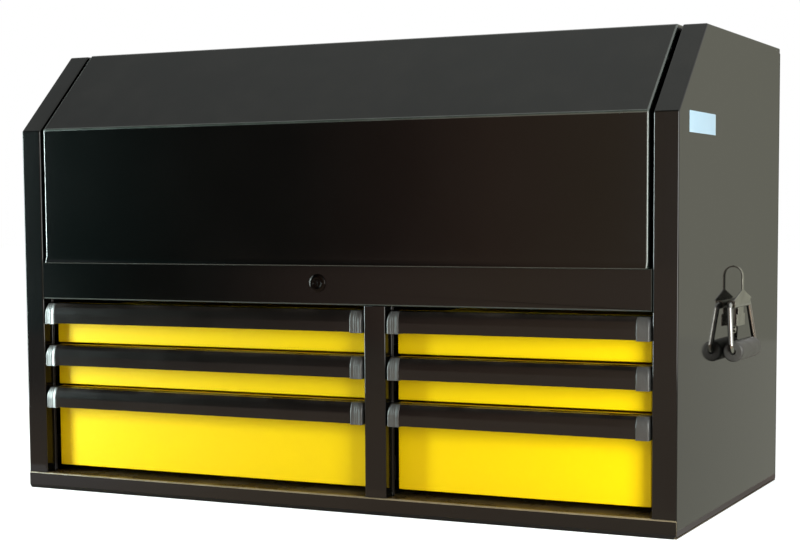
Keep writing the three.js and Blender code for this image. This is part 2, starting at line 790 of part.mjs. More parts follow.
function handleArc(radius, centreOut, centreZ, side, fromTurn, toTurn) {
  return Array.from({ length: arcSteps + 1 }, (unused, i) => {
    const turn = fromTurn + ((toTurn - fromTurn) * i) / arcSteps;
    return [outward(side, centreOut + radius * Math.cos(turn)), centreZ + radius * Math.sin(turn)];
  });
}

// A folded strap: the neck out of the panel, the plate, the knuckle tube and the tongue
function handleBracket(side) {
  const axisX = outward(side, handleStandOff);
  const tube = rodY(knuckleTubeRadius, axisX, handleRise,
    handleCentre - knuckleTubeHalf, handleCentre + knuckleTubeHalf, roundSides);
  const bore = rodY(bailRadius + bailClear, axisX, handleRise, -halfWidth, halfWidth, roundSides);
  return bracketNeck(side).add(bracketPlate(side)).add(tube).subtract(bore).add(bracketTongue(side));
}

function bracketNeck(side) {
  const top = handleRise + neckTopRise;
  const outerArc = handleArc(neckRadius, 0, top - neckRadius, side, Math.PI / 2, 0);
  const innerArc = handleArc(neckRadius - bracketSheet, 0, top - neckRadius, side, 0, Math.PI / 2);
  const foot = handleRise + knuckleTubeRadius;
  const outline = [
    [outward(side, -sheet), top],
    ...outerArc,
    [outward(side, neckRadius), foot],
    [outward(side, neckRadius - bracketSheet), foot],
    ...innerArc,
    [outward(side, -sheet), top - bracketSheet],
  ];
  return alongY(outline, handleCentre - neckWidth / 2, handleCentre + neckWidth / 2);
}

// A triangle above the knuckle tube, and a skirt as long as the tube that joins them
function bracketPlate(side) {
  const base = handleRise + knuckleTubeRadius;
  const apex = handleRise + bracketApexRise;
  const outline = [
    [handleCentre - knuckleTubeHalf, handleRise],
    [handleCentre + knuckleTubeHalf, handleRise],
    [handleCentre + knuckleTubeHalf, base],
    [handleCentre + bracketHalfWidth, base],
    [handleCentre + bracketApexHalf, apex],
    [handleCentre - bracketApexHalf, apex],
    [handleCentre - bracketHalfWidth, base],
    [handleCentre - knuckleTubeHalf, base],
  ];
  return alongX(outline, outward(side, neckRadius - bracketSheet), outward(side, neckRadius));
}

// Below the tube: a narrow strap, a wide plate, a step to the panel and a foot with its rivet
function bracketTongue(side) {
  const inner = outward(side, tongueStandOff);
  const outer = outward(side, tongueStandOff + bracketSheet);
  const step = handleRise - tongueDrop + tongueFoot;
  const wideTop = handleRise - tongueWideDrop;
  const strap = acrossHandle(inner, outer, tongueNeckHalf, wideTop, handleRise - tongueTopDrop);
  const plate = acrossHandle(inner, outer, tongueHalfWidth, step, wideTop);
  const ledge = acrossHandle(outward(side, seat), outer, tongueFootHalf, step, step + bracketSheet);
  const foot = acrossHandle(outward(side, seat), outward(side, seat + bracketSheet),
    tongueFootHalf, step - tongueFoot, step + bracketSheet);
  const rivetHead = rodX(tongueRivetRadius, handleCentre, tongueRivetZ(),
    outward(side, seat + bracketSheet / 2), outward(side, seat + bracketSheet + tongueRivetProud), smallSides);
  const rivetShank = rodX(tongueRivetRadius / 2, handleCentre, tongueRivetZ(),
    outward(side, -sheet), outward(side, seat + bracketSheet / 2), smallSides);
  return strap.add(plate).add(ledge).add(foot).add(rivetHead).add(rivetShank);
}

function acrossHandle(xA, xB, half, low, high) {
  return block(xA, xB, handleCentre - half, handleCentre + half, low, high);
}

function bail(side) {
  const topX = outward(side, handleStandOff);
  const lowX = outward(side, handleStandOff + bailLeanOut);
  const lowZ = handleRise - bailDrop;
  const topAxle = rodY(bailRadius, topX, handleRise,
    handleCentre - bailTopHalf, handleCentre + bailTopHalf, smallSides);
  const lowBar = rodY(bailRadius, lowX, lowZ,
    handleCentre - bailBottomHalf, handleCentre + bailBottomHalf, smallSides);
  let loop = topAxle.add(lowBar);
  for (const end of [-1, 1]) {
    const topPoint = [topX, handleCentre + end * bailTopHalf, handleRise];
    const lowPoint = [lowX, handleCentre + end * bailBottomHalf, lowZ];
    loop = loop.add(rodBetween(bailRadius, topPoint, lowPoint, smallSides));
    loop = loop.add(elbow(topPoint)).add(elbow(lowPoint));
  }
  return loop;
}

function elbow(point) {
  const ball = new THREE.SphereGeometry(bailRadius, smallSides, smallSides / 2);
  ball.translate(...point);
  return solidOf(ball);
}

// The grip is a loose sleeve on the lower bar of the bail, and has slipped towards the front
function grip(side) {
  const x = outward(side, handleStandOff + bailLeanOut);
  const z = handleRise - bailDrop;
  const bore = bailRadius + seat;
  const endRadius = gripRadius - gripTaperDepth;
  const shoulder = gripHalfLength - gripTaperLength;
  const profile = [
    [bore, -gripHalfLength],
    [endRadius, -gripHalfLength],
    [gripRadius, -shoulder],
    [gripRadius, shoulder],
    [endRadius, gripHalfLength],
    [bore, gripHalfLength],
    [bore, -gripHalfLength],
  ];
  const geometry = new THREE.LatheGeometry(profile.map(([r, y]) => new THREE.Vector2(r, y)), roundSides);
  geometry.translate(x, handleCentre + gripSlip, z);
  return solidOf(geometry);
}

// Cabinet
addPiece('left_side_panel', sidePanel(-1), blackPaint);
addPiece('right_side_panel', sidePanel(1), blackPaint);
addPiece('back_panel', backPanel(), blackPaint);
addPiece('bottom_pan', bottomPan(), blackPaint);
addPiece('till_floor', tillFloor(), blackPaint);
addPiece('lock_rail', lockRail(), blackPaint);
addPiece('centre_partition', centrePartition(), blackPaint);

// Drawers, slides, handle bars and end caps
for (const column of columns) {
  for (const row of rows) {
    const place = `${column.name}_${row.name}`;
    addPiece(`slide_${place}_l`, slideRail(column.left, -1, row, column.cheekSide < 0), zincSteel);
    addPiece(`slide_${place}_r`, slideRail(column.right, 1, row, column.cheekSide > 0), zincSteel);
    addPiece(`drawer_${place}`, drawer(column, row), yellowPaint);
    addPiece(`handle_bar_${place}`, handleBar(column, row), blackBar);
    addPiece(`end_cap_${place}_l`, endCap(column, row, -1), greyPlastic);
    addPiece(`end_cap_${place}_r`, endCap(column, row, 1), greyPlastic);
  }
}

// Lid, hinge and struts
addPiece('lid', lidShell(), blackPaint);
addPiece('lid_stiffener', lidStiffener(), blackPaint);
addPiece('hinge_leaf_fixed', fixedLeaf(), zincSteel);
addPiece('hinge_leaf_moving', movingLeaf(), zincSteel);
for (const side of [-1, 1]) {
  const hand = side < 0 ? 'left' : 'right';
  addPiece(`strut_tube_${hand}`, strutTube(side), strutBlack);
  addPiece(`strut_rod_${hand}`, strutRod(side), chromeSteel);
}

// Lock and catch
addPiece('lock_housing', lockHousing(), chromeSteel);
addPiece('lock_plug', lockPlug(), chromeSteel);
addPiece('lid_catch', lidCatch(), zincSteel);

// Side handles
for (const side of [-1, 1]) {
  const hand = side < 0 ? 'left' : 'right';
  addPiece(`side_handle_bracket_${hand}`, handleBracket(side), zincSteel);
  addPiece(`side_handle_bail_${hand}`, bail(side), chromeSteel);
  addPiece(`side_handle_grip_${hand}`, grip(side), darkGrip);
}

export default chest;
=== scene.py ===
import bpy
import bmesh
import math
from mathutils import Matrix, Vector


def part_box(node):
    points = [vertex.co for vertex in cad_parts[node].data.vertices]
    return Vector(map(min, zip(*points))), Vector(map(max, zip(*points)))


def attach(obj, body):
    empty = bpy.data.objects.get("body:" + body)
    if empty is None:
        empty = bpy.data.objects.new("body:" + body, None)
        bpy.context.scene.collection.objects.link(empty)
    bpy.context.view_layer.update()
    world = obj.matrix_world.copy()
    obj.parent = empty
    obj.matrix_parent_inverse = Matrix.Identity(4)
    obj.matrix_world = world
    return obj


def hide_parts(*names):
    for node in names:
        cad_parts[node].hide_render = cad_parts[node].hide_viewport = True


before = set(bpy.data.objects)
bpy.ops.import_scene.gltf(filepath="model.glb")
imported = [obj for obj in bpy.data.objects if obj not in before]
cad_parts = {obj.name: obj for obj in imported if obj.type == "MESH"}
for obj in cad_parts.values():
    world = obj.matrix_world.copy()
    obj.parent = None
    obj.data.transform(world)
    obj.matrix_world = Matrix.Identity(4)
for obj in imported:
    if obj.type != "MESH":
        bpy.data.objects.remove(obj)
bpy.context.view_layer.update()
mm = 0.001
scene = bpy.context.scene


def newGroup(name, inputs, outputs):
    group = bpy.data.node_groups.new(name, "ShaderNodeTree")
    for label, value in inputs.items():
        socket = group.interface.new_socket(label, in_out="INPUT", socket_type="NodeSocketFloat")
        socket.default_value = value
    for label in outputs:
        group.interface.new_socket(label, in_out="OUTPUT", socket_type="NodeSocketFloat")
    return group, group.nodes.new("NodeGroupInput"), group.nodes.new("NodeGroupOutput")


def addNode(tree, kind, settings=None, **values):
    node = tree.nodes.new(kind)
    for key, value in (settings or {}).items():
        setattr(node, key, value)
    for key, value in values.items():
        node.inputs[key.replace("_", " ")].default_value = value
    return node


skinLook = {"peelDetail": 2.0, "peelRoughness": 0.45, "cloudDetail": 4.0, "cloudRoughness": 0.55}


# fine waviness of sprayed and baked powder paint, and its slow changes of gloss
def makePaintSkin():
    group, given, result = newGroup(
        "paintSkin", {"Peel Size": 2.2, "Cloud Size": 90.0}, ["Height", "Gloss"])
    coords = addNode(group, "ShaderNodeTexCoord")
    peelScale = addNode(group, "ShaderNodeMath", {"operation": "DIVIDE"})
    peelScale.inputs[0].default_value = 1 / mm
    cloudScale = addNode(group, "ShaderNodeMath", {"operation": "DIVIDE"})
    cloudScale.inputs[0].default_value = 1 / mm
    peel = addNode(group, "ShaderNodeTexNoise", Detail=skinLook["peelDetail"],
                   Roughness=skinLook["peelRoughness"])
    cloud = addNode(group, "ShaderNodeTexNoise", Detail=skinLook["cloudDetail"],
                    Roughness=skinLook["cloudRoughness"])
    group.links.new(given.outputs["Peel Size"], peelScale.inputs[1])
    group.links.new(given.outputs["Cloud Size"], cloudScale.inputs[1])
    group.links.new(peelScale.outputs[0], peel.inputs["Scale"])
    group.links.new(cloudScale.outputs[0], cloud.inputs["Scale"])
    group.links.new(coords.outputs["Object"], peel.inputs["Vector"])
    group.links.new(coords.outputs["Object"], cloud.inputs["Vector"])
    group.links.new(peel.outputs["Fac"], result.inputs["Height"])
    group.links.new(cloud.outputs["Fac"], result.inputs["Gloss"])
    return group


# long fine lines along one axis, as a mill or a brush leaves them
def makeDrawnGrain():
    group, given, result = newGroup(
        "drawnGrain", {"Along X": 8.0, "Along Y": 900.0, "Along Z": 900.0}, ["Lines"])
    coords = addNode(group, "ShaderNodeTexCoord")
    mapping = addNode(group, "ShaderNodeMapping")
    stretch = addNode(group, "ShaderNodeCombineXYZ")
    noise = addNode(group, "ShaderNodeTexNoise", Scale=1.0, Detail=3.0, Roughness=0.6)
    for axis in "XYZ":
        group.links.new(given.outputs["Along " + axis], stretch.inputs[axis])
    group.links.new(coords.outputs["Object"], mapping.inputs["Vector"])
    group.links.new(stretch.outputs["Vector"], mapping.inputs["Scale"])
    group.links.new(mapping.outputs["Vector"], noise.inputs["Vector"])
    group.links.new(noise.outputs["Fac"], result.inputs["Lines"])
    return group


dustAndSheenLook = {"patchScale": 14.0, "patchDetail": 6.0, "patchRoughness": 0.65,
            "upFrom": 0.35, "upTo": 1.0, "patchFrom": 0.42, "patchTo": 0.75}


# thin dust that settles on faces turned up; where a paint gives it much, as on the handle bars and
# the ledge, it also lays a painted sheen on their tops
def makeDustAndSheenVeil():
    group, given, result = newGroup("dustAndSheenVeil", {"Amount": 0.3}, ["Mask"])
    coords = addNode(group, "ShaderNodeTexCoord")
    geometry = addNode(group, "ShaderNodeNewGeometry")
    split = addNode(group, "ShaderNodeSeparateXYZ")
    patches = addNode(group, "ShaderNodeTexNoise", Scale=dustAndSheenLook["patchScale"],
                      Detail=dustAndSheenLook["patchDetail"], Roughness=dustAndSheenLook["patchRoughness"])
    up = addNode(group, "ShaderNodeMapRange", {"clamp": True},
                 From_Min=dustAndSheenLook["upFrom"], From_Max=dustAndSheenLook["upTo"])
    spread = addNode(group, "ShaderNodeMapRange", {"clamp": True},
                     From_Min=dustAndSheenLook["patchFrom"], From_Max=dustAndSheenLook["patchTo"])
    both = addNode(group, "ShaderNodeMath", {"operation": "MULTIPLY"})
    scaled = addNode(group, "ShaderNodeMath", {"operation": "MULTIPLY"})
    group.links.new(geometry.outputs["Normal"], split.inputs[0])
    group.links.new(split.outputs["Z"], up.inputs["Value"])
    group.links.new(coords.outputs["Object"], patches.inputs["Vector"])
    group.links.new(patches.outputs["Fac"], spread.inputs["Value"])
    group.links.new(up.outputs["Result"], both.inputs[0])
    group.links.new(spread.outputs["Result"], both.inputs[1])
    group.links.new(both.outputs[0], scaled.inputs[0])
    group.links.new(given.outputs["Amount"], scaled.inputs[1])
    group.links.new(scaled.outputs[0], result.inputs["Mask"])
    return group


paintSkin = makePaintSkin()
drawnGrain = makeDrawnGrain()
dustAndSheenVeil = makeDustAndSheenVeil()


def useGroup(tree, group, **values):
    return addNode(tree, "ShaderNodeGroup", {"node_tree": group}, **values)


def newMaterial(name):
    material = bpy.data.materials.new(name)
    material.use_nodes = True
    tree = material.node_tree
    tree.nodes.clear()
    shader = tree.nodes.new("ShaderNodeBsdfPrincipled")
    output = tree.nodes.new("ShaderNodeOutputMaterial")
    tree.links.new(shader.outputs["BSDF"], output.inputs["Surface"])
    return material, tree, shader


# noise seldom leaves this span, which the ramp stretches from low to high
noiseSpan = (0.3, 0.7)


def rampOf(tree, source, low, high):
    ramp = addNode(tree, "ShaderNodeMapRange", {"clamp": True}, From_Min=noiseSpan[0],
                   From_Max=noiseSpan[1], To_Min=low, To_Max=high)
    tree.links.new(source, ramp.inputs["Value"])
    return ramp.outputs["Result"]


def mixColours(tree, mask, first, second):
    mix = addNode(tree, "ShaderNodeMix", {"data_type": "RGBA"})
    mix.inputs[6].default_value = (*first, 1)
    mix.inputs[7].default_value = (*second, 1)
    tree.links.new(mask, mix.inputs[0])
    return mix.outputs[2]


def bumpFrom(tree, height, shader, strength, distance):
    bump = addNode(tree, "ShaderNodeBump", Strength=strength, Distance=distance)
    tree.links.new(height, bump.inputs["Height"])
    tree.links.new(bump.outputs["Normal"], shader.inputs["Normal"])


def paint(name, look, metallic=0.0):
    material, tree, shader = newMaterial(name)
    skin = useGroup(tree, paintSkin, Peel_Size=look["peelSize"], Cloud_Size=look["cloudSize"])
    dustAndSheen = useGroup(tree, dustAndSheenVeil, Amount=look["dustAndSheen"])
    clouded = mixColours(tree, rampOf(tree, skin.outputs["Gloss"], 0, 1),
                         look["colour"], look["colourTwo"])
    # the up-facing veil goes over the colour: dust, and on some paints a painted sheen
    withDustAndSheen = addNode(tree, "ShaderNodeMix", {"data_type": "RGBA"})
    tree.links.new(clouded, withDustAndSheen.inputs[6])
    withDustAndSheen.inputs[7].default_value = (*look["dustAndSheenColour"], 1)
    tree.links.new(dustAndSheen.outputs["Mask"], withDustAndSheen.inputs[0])
    tree.links.new(withDustAndSheen.outputs[2], shader.inputs["Base Color"])
    gloss = rampOf(tree, skin.outputs["Gloss"], look["roughLow"], look["roughHigh"])
    added = addNode(tree, "ShaderNodeMath", {"operation": "ADD"})
    spread = addNode(tree, "ShaderNodeMath", {"operation": "MULTIPLY"})
    spread.inputs[1].default_value = look["dustRough"]
    tree.links.new(dustAndSheen.outputs["Mask"], spread.inputs[0])
    tree.links.new(gloss, added.inputs[0])
    tree.links.new(spread.outputs[0], added.inputs[1])
    tree.links.new(added.outputs[0], shader.inputs["Roughness"])
    shader.inputs["IOR"].default_value = look["ior"]
    shader.inputs["Metallic"].default_value = metallic
    bumpFrom(tree, skin.outputs["Height"], shader, look["bump"], look["bumpDepth"])
    return material


def metal(name, look):
    alongX, alongY, alongZ = look["grain"]
    material, tree, shader = newMaterial(name)
    skin = useGroup(tree, paintSkin, Peel_Size=look["peelSize"], Cloud_Size=look["cloudSize"])
    grain = useGroup(tree, drawnGrain, Along_X=alongX, Along_Y=alongY, Along_Z=alongZ)
    tone = mixColours(tree, rampOf(tree, skin.outputs["Gloss"], 0, 1),
                      look["colour"], look["colourTwo"])
    gloss = rampOf(tree, grain.outputs["Lines"], look["roughLow"], look["roughHigh"])
    tree.links.new(tone, shader.inputs["Base Color"])
    tree.links.new(gloss, shader.inputs["Roughness"])
    shader.inputs["Metallic"].default_value = 1.0
    bumpFrom(tree, grain.outputs["Lines"], shader, look["bump"], look["bumpDepth"])
    return material


cabinetBlack = paint("cabinetBlack", {
    "colour": (0.0018, 0.0020, 0.0018), "colourTwo": (0.0026, 0.0027, 0.0024),
    "dustAndSheenColour": (0.16, 0.155, 0.14), "dustAndSheen": 0.06, "dustRough": 1.2,
    "peelSize": 2.4, "cloudSize": 140.0, "roughLow": 0.055, "roughHigh": 0.085,
    "ior": 1.46, "bump": 0.035, "bumpDepth": 0.0002})
# the rounded bends are painted a little lighter than the flat paint beside them, a painted
# highlight along them
foldHighlight = paint("foldHighlight", {
    "colour": (0.032, 0.042, 0.037), "colourTwo": (0.042, 0.053, 0.046),
    "dustAndSheenColour": (0.16, 0.155, 0.14), "dustAndSheen": 0.1, "dustRough": 0.6,
    "peelSize": 1.6, "cloudSize": 40.0, "roughLow": 0.1, "roughHigh": 0.2,
    "ior": 1.5, "bump": 0.035, "bumpDepth": 0.0001})
# the lid's bends are painted lighter than its flat paint, a painted highlight along them
lidFoldHighlight = paint("lidFoldHighlight", {
    "colour": (0.032, 0.044, 0.038), "colourTwo": (0.042, 0.055, 0.048),
    "dustAndSheenColour": (0.16, 0.155, 0.14), "dustAndSheen": 0.1, "dustRough": 0.6,
    "peelSize": 1.6, "cloudSize": 40.0, "roughLow": 0.12, "roughHigh": 0.22,
    "ior": 1.95, "bump": 0.035, "bumpDepth": 0.0001})
# a pale paint on the bottom pan's bends, a painted highlight along them
panBendHighlight = paint("panBendHighlight", {
    "colour": (0.16, 0.132, 0.082), "colourTwo": (0.215, 0.18, 0.112),
    "dustAndSheenColour": (0.4, 0.35, 0.22), "dustAndSheen": 0.1, "dustRough": 0.6,
    "peelSize": 1.2, "cloudSize": 30.0, "roughLow": 0.2, "roughHigh": 0.35,
    "ior": 1.5, "bump": 0.06, "bumpDepth": 0.0001})
# the ledge's top is painted brown, with a heavy brown up-facing veil, a painted reflection of the
# yellow drawers above it
ledgeReflectionBrown = paint("ledgeReflectionBrown", {
    "colour": (0.068, 0.047, 0.015), "colourTwo": (0.088, 0.06, 0.019),
    "dustAndSheenColour": (0.22, 0.15, 0.05), "dustAndSheen": 0.3, "dustRough": 1.0,
    "peelSize": 2.4, "cloudSize": 60.0, "roughLow": 0.16, "roughHigh": 0.3,
    "ior": 1.5, "bump": 0.035, "bumpDepth": 0.0002})
drawerYellow = paint("drawerYellow", {
    "colour": (0.87, 0.61, 0.0006), "colourTwo": (0.85, 0.59, 0.0005),
    "dustAndSheenColour": (0.55, 0.5, 0.35), "dustAndSheen": 0.04, "dustRough": 1.0,
    "peelSize": 2.0, "cloudSize": 110.0, "roughLow": 0.33, "roughHigh": 0.39,
    "ior": 1.19, "bump": 0.04, "bumpDepth": 0.0002})
clipBlack = paint("clipBlack", {
    "colour": (0.0045, 0.004, 0.0036), "colourTwo": (0.006, 0.0055, 0.005),
    "dustAndSheenColour": (0.1, 0.09, 0.07), "dustAndSheen": 0.05, "dustRough": 0.3,
    "peelSize": 0.8, "cloudSize": 20.0, "roughLow": 0.4, "roughHigh": 0.5,
    "ior": 1.45, "bump": 0.1, "bumpDepth": 0.0001})
# the bars' up-facing veil is heavy so their tops come out lighter: partly dust, partly a painted
# sheen
barBlack = paint("barBlack", {
    "colour": (0.0050, 0.0042, 0.0036), "colourTwo": (0.0065, 0.0055, 0.0046),
    "dustAndSheenColour": (0.14, 0.12, 0.10), "dustAndSheen": 0.45, "dustRough": 1.0,
    "peelSize": 1.1, "cloudSize": 60.0, "roughLow": 0.11, "roughHigh": 0.16,
    "ior": 1.44, "bump": 0.04, "bumpDepth": 0.0001})
capGrey = paint("capGrey", {
    "colour": (0.078, 0.08, 0.078), "colourTwo": (0.092, 0.095, 0.092),
    "dustAndSheenColour": (0.3, 0.29, 0.27), "dustAndSheen": 0.05, "dustRough": 0.5,
    "peelSize": 0.5, "cloudSize": 14.0, "roughLow": 0.32, "roughHigh": 0.37,
    "ior": 1.5, "bump": 0.02, "bumpDepth": 0.00005}, 0.6)
gripGrey = paint("gripGrey", {
    "colour": (0.034, 0.034, 0.031), "colourTwo": (0.048, 0.047, 0.043),
    "dustAndSheenColour": (0.2, 0.19, 0.17), "dustAndSheen": 0.08, "dustRough": 0.5,
    "peelSize": 0.8, "cloudSize": 22.0, "roughLow": 0.38, "roughHigh": 0.5,
    "ior": 1.5, "bump": 0.2, "bumpDepth": 0.0002})
strutGloss = paint("strutGloss", {
    "colour": (0.006, 0.006, 0.006), "colourTwo": (0.009, 0.009, 0.009),
    "dustAndSheenColour": (0.15, 0.15, 0.14), "dustAndSheen": 0.05, "dustRough": 1.0,
    "peelSize": 1.5, "cloudSize": 30.0, "roughLow": 0.12, "roughHigh": 0.18,
    "ior": 1.5, "bump": 0.03, "bumpDepth": 0.0002})
labelPaper = paint("labelPaper", {
    "colour": (0.39, 0.59, 0.73), "colourTwo": (0.43, 0.62, 0.75),
    "dustAndSheenColour": (0.6, 0.6, 0.6), "dustAndSheen": 0.02, "dustRough": 0.2,
    "peelSize": 0.9, "cloudSize": 25.0, "roughLow": 0.3, "roughHigh": 0.36,
    "ior": 1.45, "bump": 0.03, "bumpDepth": 0.0001})
labelBorder = paint("labelBorder", {
    "colour": (0.68, 0.70, 0.71), "colourTwo": (0.71, 0.73, 0.74),
    "dustAndSheenColour": (0.6, 0.6, 0.6), "dustAndSheen": 0.02, "dustRough": 0.2,
    "peelSize": 0.9, "cloudSize": 25.0, "roughLow": 0.3, "roughHigh": 0.36,
    "ior": 1.45, "bump": 0.03, "bumpDepth": 0.0001})
zincPlate = metal("zincPlate", {
    "colour": (0.52, 0.53, 0.54), "colourTwo": (0.64, 0.64, 0.62),
    "peelSize": 1.6, "cloudSize": 18.0, "roughLow": 0.26, "roughHigh": 0.4,
    "grain": (900.0, 12.0, 900.0), "bump": 0.12, "bumpDepth": 0.0001})
chromePlate = metal("chromePlate", {
    "colour": (0.70, 0.71, 0.72), "colourTwo": (0.75, 0.76, 0.76),
    "peelSize": 1.4, "cloudSize": 24.0, "roughLow": 0.06, "roughHigh": 0.11,
    "grain": (600.0, 600.0, 600.0), "bump": 0.02, "bumpDepth": 0.0001})
handleSteel = metal("handleSteel", {
    "colour": (0.22, 0.22, 0.20), "colourTwo": (0.32, 0.32, 0.29),
    "peelSize": 1.2, "cloudSize": 16.0, "roughLow": 0.16, "roughHigh": 0.26,
    "grain": (700.0, 700.0, 700.0), "bump": 0.05, "bumpDepth": 0.0001})
bailChrome = metal("bailChrome", {
    "colour": (0.36, 0.36, 0.34), "colourTwo": (0.46, 0.46, 0.43),
    "peelSize": 1.2, "cloudSize": 16.0, "roughLow": 0.08, "roughHigh": 0.16,
    "grain": (500.0, 500.0, 500.0), "bump": 0.03, "bumpDepth": 0.0001})
lockChrome = metal("lockChrome", {
    "colour": (0.014, 0.013, 0.012), "colourTwo": (0.02, 0.018, 0.017),
    "peelSize": 1.0, "cloudSize": 12.0, "roughLow": 0.09, "roughHigh": 0.15,
    "grain": (600.0, 600.0, 600.0), "bump": 0.03, "bumpDepth": 0.0001})
print("materials are ready")


foldLook = {"weld": 0.002 * mm, "flatAngle": math.radians(0.5), "foldAngle": math.radians(25),
            "convexShare": 0.3, "hollowShare": 0.6, "tiny": 0.001 * mm, "level": 1e-6 * mm,
            "far": 1.0}


# a CAD node's loose triangles, merged and with its flat faces whole again
def weldedNode(nodeName):
    bm = bmesh.new()
    bm.from_mesh(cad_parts[nodeName].data)
    bmesh.ops.remove_doubles(bm, verts=bm.verts, dist=foldLook["weld"])
    bmesh.ops.dissolve_limit(bm, angle_limit=foldLook["flatAngle"], verts=bm.verts, edges=bm.edges)
    return bm


# how far a face reaches from the middle of one of its edges to the edge across
def reachAcross(face, edge):
    start, end = edge.verts[0].co, edge.verts[1].co
    along = (end - start).normalized()
    inward = face.normal.cross(along)
    middle = (start + end) / 2
    if (face.calc_center_median() - middle).dot(inward) < 0:
        inward = -inward
    nearest = foldLook["far"]
    for other in face.edges:
        if other is edge:
            continue
        a = other.verts[0].co - middle
        b = other.verts[1].co - middle
        aSide, bSide = a.dot(along), b.dot(along)
        if aSide * bSide > 0 or abs(aSide - bSide) < foldLook["level"]:
            continue
        share = aSide / (aSide - bSide)
        reach = a.dot(inward) * (1 - share) + b.dot(inward) * share
        if foldLook["tiny"] < reach < nearest:
            nearest = reach
    return nearest


# folds of sheet metal get their bend radius, and cut edges a small one
def markFolds(bm, radii):
    layer = bm.edges.layers.float.new("bevel_weight_edge")
    widest = max(radii["outer"], radii["inner"], radii["cut"])
    for edge in bm.edges:
        if len(edge.link_faces) != 2 or edge.calc_face_angle() < foldLook["foldAngle"]:
            continue
        thin = min(reachAcross(face, edge) for face in edge.link_faces)
        if not edge.is_convex:
            edge[layer] = min(radii["inner"], thin * foldLook["hollowShare"]) / widest
        elif thin < radii["sheet"]:
            edge[layer] = radii["cut"] / widest
        else:
            edge[layer] = min(radii["outer"], thin * foldLook["convexShare"]) / widest
    return widest


def smoothAll(bm):
    for face in bm.faces:
        face.smooth = True


# a finished mesh becomes a piece that rides its body, in place of the nodes named
def keepPiece(name, bm, body, materials, nodes=()):
    mesh = bpy.data.meshes.new(name)
    bm.to_mesh(mesh)
    bm.free()
    piece = bpy.data.objects.new(name, mesh)
    scene.collection.objects.link(piece)
    for material in materials if isinstance(materials, (list, tuple)) else [materials]:
        mesh.materials.append(material)
    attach(piece, body)
    if nodes:
        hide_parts(*nodes)
    return piece


# the bends may have a material of their own, by its slot
def roundFolds(piece, width, segments, foldSlot):
    bevel = piece.modifiers.new("folds", "BEVEL")
    bevel.limit_method = "WEIGHT"
    bevel.width = width
    bevel.material = foldSlot
    bevel.segments = segments
    bevel.profile = 0.5
    bevel.use_clamp_overlap = False
    bevel.miter_outer = "MITER_SHARP"
    keepFlat(piece)


# wide flat faces keep their own normals, so that only the rounded edges catch the light
def keepFlat(piece):
    flat = piece.modifiers.new("flat", "WEIGHTED_NORMAL")
    flat.mode = "FACE_AREA"
    flat.weight = 100
    flat.keep_sharp = False


# every edge sharper than the look's angle gets a small round
def bevelEdges(piece, look, segments):
    bevel = piece.modifiers.new("edges", "BEVEL")
    bevel.limit_method = "ANGLE"
    bevel.angle_limit = math.radians(look["edgeAngle"])
    bevel.width = look["edge"]
    bevel.segments = segments
    return bevel


# a CAD node of folded sheet, with its bends rounded
def sheetPiece(nodeName, name, body, materials, radii,
               segments=3, paintFaces=None, foldSlot=-1):
    bm = weldedNode(nodeName)
    width = markFolds(bm, radii)
    if paintFaces:
        paintFaces(bm)
    smoothAll(bm)
    piece = keepPiece(name, bm, body, materials, [nodeName])
    roundFolds(piece, width, segments, foldSlot)


cabinetFolds = {"outer": 2.2 * mm, "inner": 1.2 * mm, "cut": 0.35 * mm, "sheet": 2.4 * mm}
for nodeName, pieceName in {
    "left_side_panel": "leftCheek", "right_side_panel": "rightCheek",
    "centre_partition": "centrePost",
}.items():
    sheetPiece(nodeName, pieceName, "cabinet", cabinetBlack, cabinetFolds)
# the lock rail's bends take the lighter paint, a painted highlight along them
sheetPiece("lock_rail", "lockRail", "cabinet", [cabinetBlack, foldHighlight],
           cabinetFolds, segments=4, foldSlot=1)
ledgeLook = {"lipFrom": -245.2 * mm, "lipTo": -242.5 * mm, "top": 25.5 * mm, "low": 1 * mm,
             "tall": 20 * mm, "level": 0.9, "deeper": 52 * mm, "footWeight": 0.12}


# the ledge behind the foot rail runs on under the drawers, and its bottom folds stay crisp; its
# upward faces take the brown ledge paint, a painted reflection of the yellow drawers above
def shapeLedge(bm):
    look = ledgeLook
    layer = bm.edges.layers.float["bevel_weight_edge"]
    for edge in bm.edges:
        upright = abs(edge.verts[0].co.z - edge.verts[1].co.z) > look["tall"]
        if upright or max(vert.co.z for vert in edge.verts) < look["low"]:
            edge[layer] = min(edge[layer], look["footWeight"])
    for vert in bm.verts:
        if look["lipFrom"] < vert.co.y < look["lipTo"] and look["low"] < vert.co.z < look["top"]:
            vert.co.y += look["deeper"]
    for face in bm.faces:
        middle = face.calc_center_median()
        if face.normal.z > look["level"] and middle.z > look["tall"]:
            face.material_index = 1


# the bottom pan's bends take the pale paint, a painted highlight along them
sheetPiece("bottom_pan", "bottomPan", "cabinet",
           [cabinetBlack, ledgeReflectionBrown, panBendHighlight], cabinetFolds,
           segments=4, paintFaces=shapeLedge, foldSlot=2)
innerFolds = {"outer": 1.6 * mm, "inner": 0.5 * mm, "cut": 0.35 * mm, "sheet": 2.4 * mm}
sheetPiece("till_floor", "tillFloor", "cabinet", cabinetBlack, innerFolds)
sheetPiece("back_panel", "backPanel", "cabinet", cabinetBlack, innerFolds)
print("cabinet is made")


lidFolds = {"outer": 2.4 * mm, "inner": 0.9 * mm, "cut": 0.35 * mm, "sheet": 2.4 * mm}
lidBack = 255 * mm


# the hinge edge stays crisp, so that its corners keep inside the frame
def crispBack(bm):
    layer = bm.edges.layers.float["bevel_weight_edge"]
    for edge in bm.edges:
        if min(vert.co.y for vert in edge.verts) > lidBack:
            edge[layer] = 0


